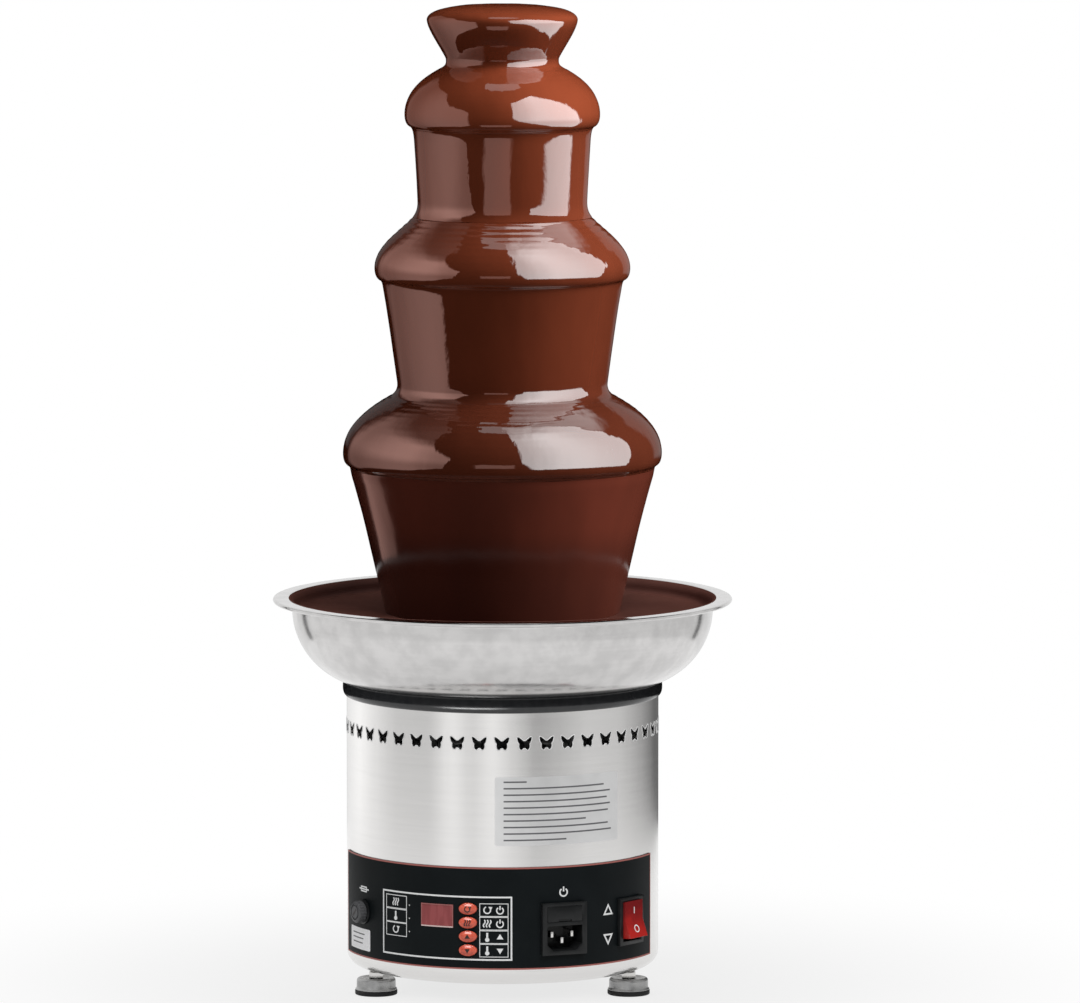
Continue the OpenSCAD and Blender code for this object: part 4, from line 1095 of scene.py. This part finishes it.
def rocker_point(x, y, proud):
    """A point on the rocker's face in mm, from its own frame turned back by its tilt at rest."""
    out = ROCKER_FRONT + abs(y) * math.tan(ROCKER_TILT) + proud
    y2 = y * math.cos(ROCKER_TILT) + out * math.sin(ROCKER_TILT)
    out2 = out * math.cos(ROCKER_TILT) - y * math.sin(ROCKER_TILT)
    return wall_point(SWITCH_TURN, x, SWITCH_Z + y2, ROCKER_PIVOT + out2)


def rocker_signs():
    """A stroke on the upper face and a ring on the lower one, sunk a little into the plastic."""
    work = bmesh.new()
    shapes = stroke([(0, 3.8), (0, 8.0)], 0.8) + round_line(0, -6.2, 2.2, 0.65, 32)
    for shape in shapes:
        low = [work.verts.new(rocker_point(x, y, -0.1)) for x, y in shape]
        top = [work.verts.new(rocker_point(x, y, 0.06)) for x, y in shape]
        work.faces.new(top)
        work.faces.new(low[::-1])
        for k in range(len(shape)):
            n = (k + 1) % len(shape)
            work.faces.new([low[k], low[n], top[n], top[k]])
    return show("rocker_signs", closed_mesh(work, "rocker_signs"))


fit(rocker_signs(), white_ink, "rocker", "rocker_red")


# Fuse holder: a black bush through the panel with a ribbed cap that turns by less than a quarter turn to
# free the fuse. The cap's slot for a screwdriver is a painted shade, a black strip on its face.
FUSE_TURN = -61
FUSE_Z = 55.7
fit(softened("fuse_bush", "fuse_holder", 0.3), black_plastic, "base", "black_plastic", "fuse_holder")


def rib_tree():
    """Grip ribs: short bars set round the knob's axis."""
    given = open_tree("knob_ribs", ("Count",), ("Radius", "Width", "Length"))
    rod = {"Vertices": 8, "Radius": given.out("Width"), "Depth": given.out("Length")}
    bar = given.node("GeometryNodeMeshCylinder", rod)
    ring = {"Vertices": given.out("Count"), "Radius": given.out("Radius")}
    spots = given.node("GeometryNodeMeshCircle", ring)
    bars = given.node("GeometryNodeInstanceOnPoints", {"Points": spots, "Instance": bar})
    return close_tree(given, join_given(given, bars))


def stand_on_wall(mesh, turn, z):
    """Move a mesh made upright about the axis, in metres, to stand out of the drum's wall."""
    for vertex in mesh.vertices:
        x, y, out = vertex.co / MM
        vertex.co = wall_point(turn, x, z + y, out)


knob_plastic = cloudy(1800, (0.060, 0.061, 0.064), (0.085, 0.086, 0.090), rough=0.38, spread=0.12)
knob_grey = finish("knob_grey", knob_plastic)
KNOB = [(0, -23.5), (3.8, -23.5), (3.8, 2.3), (6.6, 2.3), (6.75, 2.5), (6.75, 6.9), (6.5, 7.3)]
KNOB += [(5.9, 7.6), (5.2, 7.7), (5.0, 6.9), (4.2, 6.9), (4.0, 7.75), (0, 7.75)]
knob = show("fuse_knob_cap", lathe("fuse_knob_cap", KNOB, 48))
grow(knob, rib_tree(), Count=22, Radius=6.7 * MM, Width=0.42 * MM, Length=4.2 * MM, Material=knob_grey)
# The ribs are made about the middle of the axis, and move up to the cap's head
for vertex in knob.data.vertices:
    on_rib = math.hypot(vertex.co.x, vertex.co.y) > 6.2 * MM and abs(vertex.co.z) < 2.2 * MM
    if on_rib:
        vertex.co.z += 4.7 * MM
stand_on_wall(knob.data, FUSE_TURN, FUSE_Z)
fit(knob, knob_grey, "fuse_knob", "black_plastic", "fuse_cap")
# The screwdriver slot is a painted shade: a black strip on the cap's face
slot_shade_line = stroke([(-2.2, FUSE_Z - 2.2), (2.2, FUSE_Z + 2.2)], 1.3)
slot_shade_plate = plate_on_wall("fuse_knob_slot_shade", slot_shade_line, FUSE_TURN, 7.7, 0.09)
fit(slot_shade_plate, black_print_and_shade, "fuse_knob", "black_plastic")


# Seat ring: a glossy black rubber ring between the drum and the bowl, with a rounded lip that stands out
# past the drum.
seat_gloss = cloudy(200, (0.020, 0.021, 0.023), (0.027, 0.028, 0.030), rough=0.14, spread=0.1)
RING = [(88.8, 192.0), (98.65, 192.0), (98.65, 186.0), (100.65, 186.0), (100.65, 192.0), (102.0, 192.0)]
RING += bezier([(102.0, 192.0), (103.4, 192.3), (104.5, 194.2), (104.5, 197.0)], 10)[1:]
RING += bezier([(104.5, 197.0), (104.5, 199.6), (104.3, 202.2), (103.2, 202.2)], 10)[1:]
RING += [(103.0, 201.3)] + arc((87.5, 249.0), 50.15, -71.8, -88.4, 10)
seat_ring = show("seat_ring", lathe("seat_ring", RING, 160))
fit(seat_ring, finish("seat_rubber", seat_gloss), "base", "seat_rubber", "bowl_ring")


# Bowl: spun from one disc of stainless steel, brushed round its axis, with the wall turned out to a flat
# rim whose edge is rolled under.
BOWL = [(11.3, 199.0), (40, 199.0)] + arc((87.5, 249.0), 50.0, -90, 0, 40)
BOWL += arc((141.5, 250.8), 4.0, 180, 90, 10) + [(145.0, 254.8)]
BOWL += arc((148.6, 254.6), 1.4, 175, 450, 18)
BOWL += arc((141.5, 250.8), 5.2, 90, 180, 10) + arc((87.5, 249.0), 48.8, 0, -90, 40)
BOWL += [(40, 200.2), (11.3, 200.2)]
bowl = show("bowl_spun", lathe("bowl_spun", BOWL, 192))


def bowl_brushed(start):
    return brushed(start, (0.66, 0.65, 0.645), rough=0.11, lines=0.8, mottle=1.0, stretch=0.2)


bowl_steel = finish("bowl_steel", bowl_brushed)
fit(bowl, bowl_steel, "base", "brushed_steel", "bowl")


# Tower: a plain steel tube with spun tiers, a crown and their stop rings, all under the running
# chocolate, with a white food-safe screw inside.
white_nylon = cloudy(90, (0.68, 0.67, 0.63), (0.76, 0.75, 0.72), rough=0.35, spread=0.1)
dress(bowl_steel, "tower_foot", "tower_tube", "tier_stops", "crown")
dress(bowl_steel, "upper_tier", "middle_tier", "lower_tier")
dress(finish("auger_nylon", white_nylon), "auger_core", "auger_flight")


# Works inside the drum: pressed plates, cast housings, motor, gears, bushes, heater and wiring. They show
# only through the vents and the slots below, and each has the plain finish of its kind: its colour, how
# metallic and how rough it is, the scale of its clouds, and the nodes that have it.
INSIDES = [
    ("pressed_steel", (0.36, 0.36, 0.355), 1.0, 0.34, 140, ["base_plate", "deck_plate", "board_bracket"]),
    ("screw_steel", (0.50, 0.50, 0.50), 1.0, 0.28, 300, ["foot_bushes", "case_screws", "heater_clamp"]),
    ("shaft_steel", (0.60, 0.60, 0.60), 1.0, 0.18, 300,
     ["idler_pin", "output_shaft", "rotor", "hub_nut"]),
    ("gear_brass", (0.62, 0.44, 0.16), 1.0, 0.25, 300, ["idler_gear", "output_gear"]),
    ("bush_bronze", (0.45, 0.26, 0.12), 1.0, 0.35, 500, ["shaft_bushes"]),
    ("cast_aluminium", (0.24, 0.245, 0.25), 1.0, 0.55, 900,
     ["gearbox_housing", "shaft_housing", "heater_plate"]),
    ("motor_paint", (0.10, 0.11, 0.12), 0.0, 0.40, 400, ["motor_can"]),
    ("winding", (0.42, 0.16, 0.05), 0.6, 0.35, 700, ["stator"]),
    ("board_green", (0.02, 0.13, 0.05), 0.0, 0.35, 350, ["control_board"]),
    ("wire_black", (0.02, 0.02, 0.022), 0.0, 0.40, 300, ["wires"]),
    ("seal_rubber", (0.03, 0.03, 0.03), 0.0, 0.55, 500, ["shaft_seal", "heat_sensor"]),
    ("washer_white", (0.70, 0.69, 0.66), 0.0, 0.40, 300, ["hub_washer"]),
    ("fuse_glass", (0.55, 0.62, 0.62), 0.0, 0.10, 200, ["drawer_fuse"]),
]
for name, tint, metal, rough, scale, nodes in INSIDES:
    dress(finish(name, dull(tint, metal, rough, scale)), *nodes)


# Chocolate: it wells up over the crown, runs down over each tier as a thick film, rolls under each lip
# and falls as a closed curtain. Where a curtain lands, it stands in fine rings.
FILM = 3.3
COAT = 2.7
POOL_FOOT = (76.0, 244.0)


def tier_dome(inner, lip, z, rise, bend):
    """The outline of a tier's steel, from where its tube ends out and down to its lip."""
    corners = [
        (inner, z + rise), (inner + bend[0] * (lip - inner), z + rise - bend[1] * rise),
        (lip, z + bend[2] * rise), (lip, z),
    ]
    return bezier(corners, 48)


def beside(line, distance):
    """A line moved to the left of its travel."""
    moved = []
    for k, (r, z) in enumerate(line):
        ahead = line[min(k + 1, len(line) - 1)]
        behind = line[max(k - 1, 0)]
        way = Vector((ahead[0] - behind[0], ahead[1] - behind[1])).normalized()
        moved.append((r - distance * way.y, z + distance * way.x))
    return moved


def land(fall, dome, reach):
    """Join a falling curtain to the dome it lands on by a smooth hollow."""
    corner = Vector(dome[0])
    fall = [p for p in fall if (Vector(p) - corner).length > reach]
    dome = [p for p in dome if (Vector(p) - corner).length > reach]
    first = Vector(fall[-1])
    last = Vector(dome[0])
    bend = bezier([first, first.lerp(corner, 0.75), last.lerp(corner, 0.75), last], 12)
    return fall + bend[1:-1] + dome


TIERS = [
    tier_dome(34.6, 60.3, 571.3, 29.2, (0.45, 0.18, 0.5)),
    tier_dome(52.2, 79.9, 471.6, 34.7, (0.2, 0.25, 0.4)),
    tier_dome(66.3, 100.7, 350.5, 37.1, (0.38, 0.18, 0.5)),
]
outside = bezier([(0, 643), (32.8, 643), (48.5, 639.5), (49.07, 633)], 40)
outside += bezier([(49.07, 633), (48.67, 625.5), (37.6, 611.5), (35.65, 605.0)], 30)[1:]
crown_points = len(outside)
landings = []
for number, dome in enumerate(TIERS):
    over = beside(dome, FILM)
    landings.append((over[0], over[-1]))
    outside = land(outside, over, 4.0 if number == 0 else 7.0)
    r, z = over[-1]
    under = (r - 3.4, z - 7.8)
    outside += bezier([(r, z), (r, z - 4.0), (r - 1.1, z - 6.8), under], 14)[1:]
    foot = beside(TIERS[number + 1], FILM)[0] if number < 2 else POOL_FOOT
    top = (r - 6.2, z - 17)
    wide = top[0] - foot[0]
    tall = top[1] - foot[1]
    lean = 1.2 * wide / tall
    tuck = [under, (r - 5.0, z - 8.5), (top[0] + lean * 5.5, z - 11.5), top]
    outside += bezier(tuck, 14)[1:]
    straight = 0.2 if number == 0 else 0.33
    hang = [
        top, (top[0] - lean * 0.33 * tall, top[1] - 0.33 * tall),
        (foot[0] + straight * wide, foot[1] + 0.33 * tall), foot,
    ]
    outside += bezier(hang, 44)[1:]


DARK_BROWN = (0.210, 0.0430, 0.0175, 1)
WARM_BROWN = (0.250, 0.0520, 0.0215, 1)
# The darkest end of the chocolate's brown, a painted shade
PAINTED_SHADE_BROWN = (0.010, 0.0042, 0.0034, 1)


def wet_brown(start):
    """Brown with painted light and shade: lightest on the crown and the upper tier, darker on the falls
    and the lower tiers.
    """
    cloud = grain(start, 24, 4.0, (1, 1, 0.5)).between(0.25, 0.75)
    # This attribute is painted light and shade: it lightens the brown on the crown and the upper tier and
    # darkens the falls and the lower tiers
    painted_light = start.node("ShaderNodeAttribute", attribute_name="painted_light").out("Fac")
    fine = grain(start, 240, 2.0, (1, 1, 0.6))
    return {
        "Base Color": painted_light.pick(PAINTED_SHADE_BROWN, cloud.pick(DARK_BROWN, WARM_BROWN)),
        "Roughness": fine * 0.02 + 0.02,
        "Specular IOR Level": 1.0,
        "Normal": bump(start, fine * 0.2 + grain(start, 70, 2.0, (1, 1, 0.25)), 0.00025, 1.0),
    }


def ripple_tree():
    """Rings where the curtains land, and slow waves over all of it, along each point's normal."""
    sizes = ("Ring Height", "Ring Length", "Ring Reach", "Wave Height", "Seed")
    given = open_tree("chocolate_rings", (), sizes)
    way = given.node("GeometryNodeInputNamedAttribute", {"Name": "landed"}, data_type="FLOAT")
    ease = given.node("GeometryNodeInputNamedAttribute", {"Name": "ease"}, data_type="FLOAT")
    spot = given.node("GeometryNodeInputPosition")
    drift = given.node("ShaderNodeTexNoise", {
        "Vector": spot, "W": given.out("Seed"), "Scale": 14.0, "Detail": 2.0
    }, noise_dimensions="4D")
    slow = given.node("ShaderNodeVectorMath", {0: spot, 1: (60.0, 60.0, 16.0)}, operation="MULTIPLY")
    slow = given.node("ShaderNodeTexNoise", {
        "Vector": slow, "W": given.out("Seed"), "Scale": 1.0, "Detail": 2.0
    }, noise_dimensions="4D")
    phase = given.math("DIVIDE", way, given.out("Ring Length")) + drift * 0.6
    fade_base = 2.718
    fade = given.math("POWER", fade_base, given.math("DIVIDE", way, given.out("Ring Reach")) * -1)
    rings = given.math("SINE", phase * (2 * math.pi)) * fade * given.out("Ring Height") * ease
    rings = rings * drift.between(0.3, 0.7)
    lift = rings + (slow - 0.5) * given.out("Wave Height") * ease
    normal = given.node("GeometryNodeInputNormal")
    offset = given.node("ShaderNodeVectorMath", {0: normal, "Scale": lift}, operation="SCALE")
    moved = given.node("GeometryNodeSetPosition", {"Geometry": given.out("Geometry"), "Offset": offset})
    return close_tree(given, moved)


def landed(point):
    """How far, in mm, a point of the outline is past the last landing, and far off anywhere else."""
    for over_start, lip in landings:
        if lip[1] < point[1] < over_start[1] + 3 and point[0] > over_start[0] - 1:
            return max(math.hypot(point[0] - over_start[0], point[1] - over_start[1]) - 3.0, 0.0)
    return 200.0


# Where the crown ends, and how much painted light each part's brown takes: nought is the painted shade
# brown, one the full brown
CROWN_LOW = 632
CROWN_PAINTED_LIGHT = 0.84
FALLS_PAINTED_LIGHT = (0.545, 0.57, 0.43)
DOMES_PAINTED_LIGHT = (0.88, 0.55, 0.30)
LAST_PAINTED_LIGHT = 0.3
INNER_PAINTED_LIGHT = 0.4


def painted_light_at(point):
    """The painted light at a point of the outline: its brown is lightest on the upper tiers."""
    if point[1] > CROWN_LOW:
        return CROWN_PAINTED_LIGHT
    for (over_start, lip), fall_thin, dome_thin in zip(landings, FALLS_PAINTED_LIGHT, DOMES_PAINTED_LIGHT):
        if point[1] > over_start[1] + 2:
            return fall_thin
        if point[1] > lip[1] - 3:
            return dome_thin
    return LAST_PAINTED_LIGHT


def evened(levels, reach):
    """Each level as the mean of its neighbours within reach."""
    spans = [levels[max(k - reach, 0):k + reach + 1] for k in range(len(levels))]
    return [sum(span) / len(span) for span in spans]


ROUND = 176


def pour(name, line, material, rings, *nodes):
    """A closed wall of chocolate behind an outline, with its rings and waves."""
    inner = [(max(r, 0.0), z) for r, z in beside(line, -COAT)[::6]]
    on_axis = line[0][0] == 0
    inner[0] = (0.0, line[0][1] - COAT) if on_axis else (inner[0][0], line[0][1])
    inner[-1] = (line[-1][0] - COAT, line[-1][1])
    piece = show(name, lathe(name, line + inner[::-1], ROUND, sharp=80))
    # The painted light and shade of each row, evened out along the outline
    levels = evened([painted_light_at(p) for p in line], 5)
    rows = [[landed(p) * MM, 1.0, t] for p, t in zip(line, levels)]
    rows += [[1.0, 0.0, INNER_PAINTED_LIGHT]] * len(inner)
    shown = line + inner[::-1]
    each = [row for row, p in zip(rows, shown) for copy in range(ROUND if p[0] > POLE else 1)]
    for place, label in enumerate(("landed", "ease", "painted_light")):
        values = piece.data.attributes.new(label, "FLOAT", "POINT")
        values.data.foreach_set("value", [row[place] for row in each])
    ripples = {"Ring Height": rings * MM, "Ring Length": 5.0 * MM, "Ring Reach": 15.0 * MM}
    ripples["Wave Height"] = 0.7 * MM
    grow(piece, chocolate_rings, Material=material, Seed=3.0, **ripples)
    piece.data.shade_smooth()
    fit(piece, material, "base", "chocolate", *nodes)
    return piece


def hanging_brown(start):
    """The lowest curtain, which hangs thick, with painted shade: its brown is darker than the chocolate on
    the tiers, and darkest near the pool that it dips into.
    """
    cloud = grain(start, 24, 4.0, (1, 1, 0.3)).between(0.25, 0.75)
    height = own_place(start).out("Z")
    # Painted shade by height: the low browns are shaded copies of the high browns, and darkest near the
    # pool
    lit_away_from_pool = height.between(0.285, 0.310) * 0.65 + height.between(0.25, 0.33) * 0.35
    low = cloud.pick((0.040, 0.0105, 0.0070, 1), (0.049, 0.0125, 0.0080, 1))
    high = cloud.pick((0.072, 0.0165, 0.0098, 1), (0.086, 0.0190, 0.0112, 1))
    fine = grain(start, 240, 2.0, (1, 1, 0.6))
    return {
        "Base Color": lit_away_from_pool.pick(low, high),
        "Roughness": fine * 0.05 + 0.12,
        "Specular IOR Level": 0.16,
        "Normal": bump(start, fine, 0.0004, 0.08),
    }


chocolate = finish("chocolate", wet_brown)
hanging = finish("hanging_chocolate", hanging_brown)
chocolate_rings = ripple_tree()

# The flow is cut into four pieces: under the first tier's lip, where the first fall lands, and under the
# last tier's lip
UNDER_LIP = 9.2
BELOW_LANDING = 2.5
starts = [over_start[1] for over_start, lip in landings]
lips = [lip[1] for over_start, lip in landings]
CUTS = [lips[0] - UNDER_LIP, starts[1] - BELOW_LANDING, lips[2] - UNDER_LIP]
past_crown = [(k, z) for k, (r, z) in enumerate(outside) if k > crown_points]
lip, foot, crease = [next(k for k, z in past_crown if z < cut) for cut in CUTS]
crown_flow = pour("chocolate_crown", outside[:lip + 1], chocolate, 0.08)
fall = pour("chocolate_fall", outside[lip:foot + 1], chocolate, 0.0)
tiers = pour("chocolate_tiers", outside[foot:crease + 1], chocolate, 0.34, "chocolate_flow")
skirt = pour("chocolate_skirt", outside[crease:], hanging, 0.0)

# The pool in the bowl, with the film that it leaves on the bowl's wall
POOL_Z = 246.5
POOL = [(33.45, 203.8), (33.45, POOL_Z)] + [(r, POOL_Z) for r in range(36, 129, 3)]
POOL += bezier([(129, POOL_Z), (133.5, POOL_Z), (135.5, 247.6), (135.7, 250.4)], 8)[1:]
POOL += arc((141.5, 250.8), 5.75, 180, 116, 8) + arc((141.5, 250.8), 5.25, 110, 180, 6)
POOL += arc((87.5, 249.0), 48.5, 0, -90, 24) + [(44.3, 200.5), (44.3, 203.5)]
pool = show("chocolate_bowlful", lathe("chocolate_bowlful", POOL, 160, sharp=60))


# The pool's brown is a chocolate brown made paler and greyer by a painted sheen
def still_brown(start):
    cloud = grain(start, 30, 3.0).between(0.3, 0.7)
    fine = grain(start, 160, 2.0)
    return {
        "Base Color": cloud.pick((0.105, 0.040, 0.031, 1), (0.125, 0.049, 0.038, 1)),
        "Roughness": fine * 0.1 + 0.30,
        "Specular IOR Level": 0.25,
        "Normal": bump(start, fine, 0.0005, 0.2),
    }


fit(pool, finish("pool_brown", still_brown), "base", "chocolate", "chocolate_pool")

# What each lamp and the round room reach. The black plastic and the pool mirror neither boxes nor room.
PLASTIC = ["control_panel", "inlet_moulding", "drawer_moulding", "switch_surround"]
PLASTIC += ["fuse_bush", "fuse_knob_cap"]
GLOSSY = ["rocker_moulding"] + [f"{name}_cap" for name, z, sign in BUTTONS]
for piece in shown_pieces():
    if piece in (crown_flow, fall, tiers, skirt):
        chocolate_seen.objects.link(piece)
        continue
    base_seen.objects.link(piece)
    if piece == seat_ring:
        ring_seen.objects.link(piece)
    elif piece == bowl:
        bowl_seen.objects.link(piece)
    elif piece.name in GLOSSY:
        button_seen.objects.link(piece)
    elif piece != pool and piece.name not in PLASTIC:
        steel_seen.objects.link(piece)
FLOWS = [(crown_seen, crown_flow), (skirt_seen, skirt), (fall_seen, fall), (dome_seen, tiers)]
FLOWS += [(lower_seen, fall), (lower_seen, tiers)]
for group, piece in FLOWS:
    group.objects.link(piece)
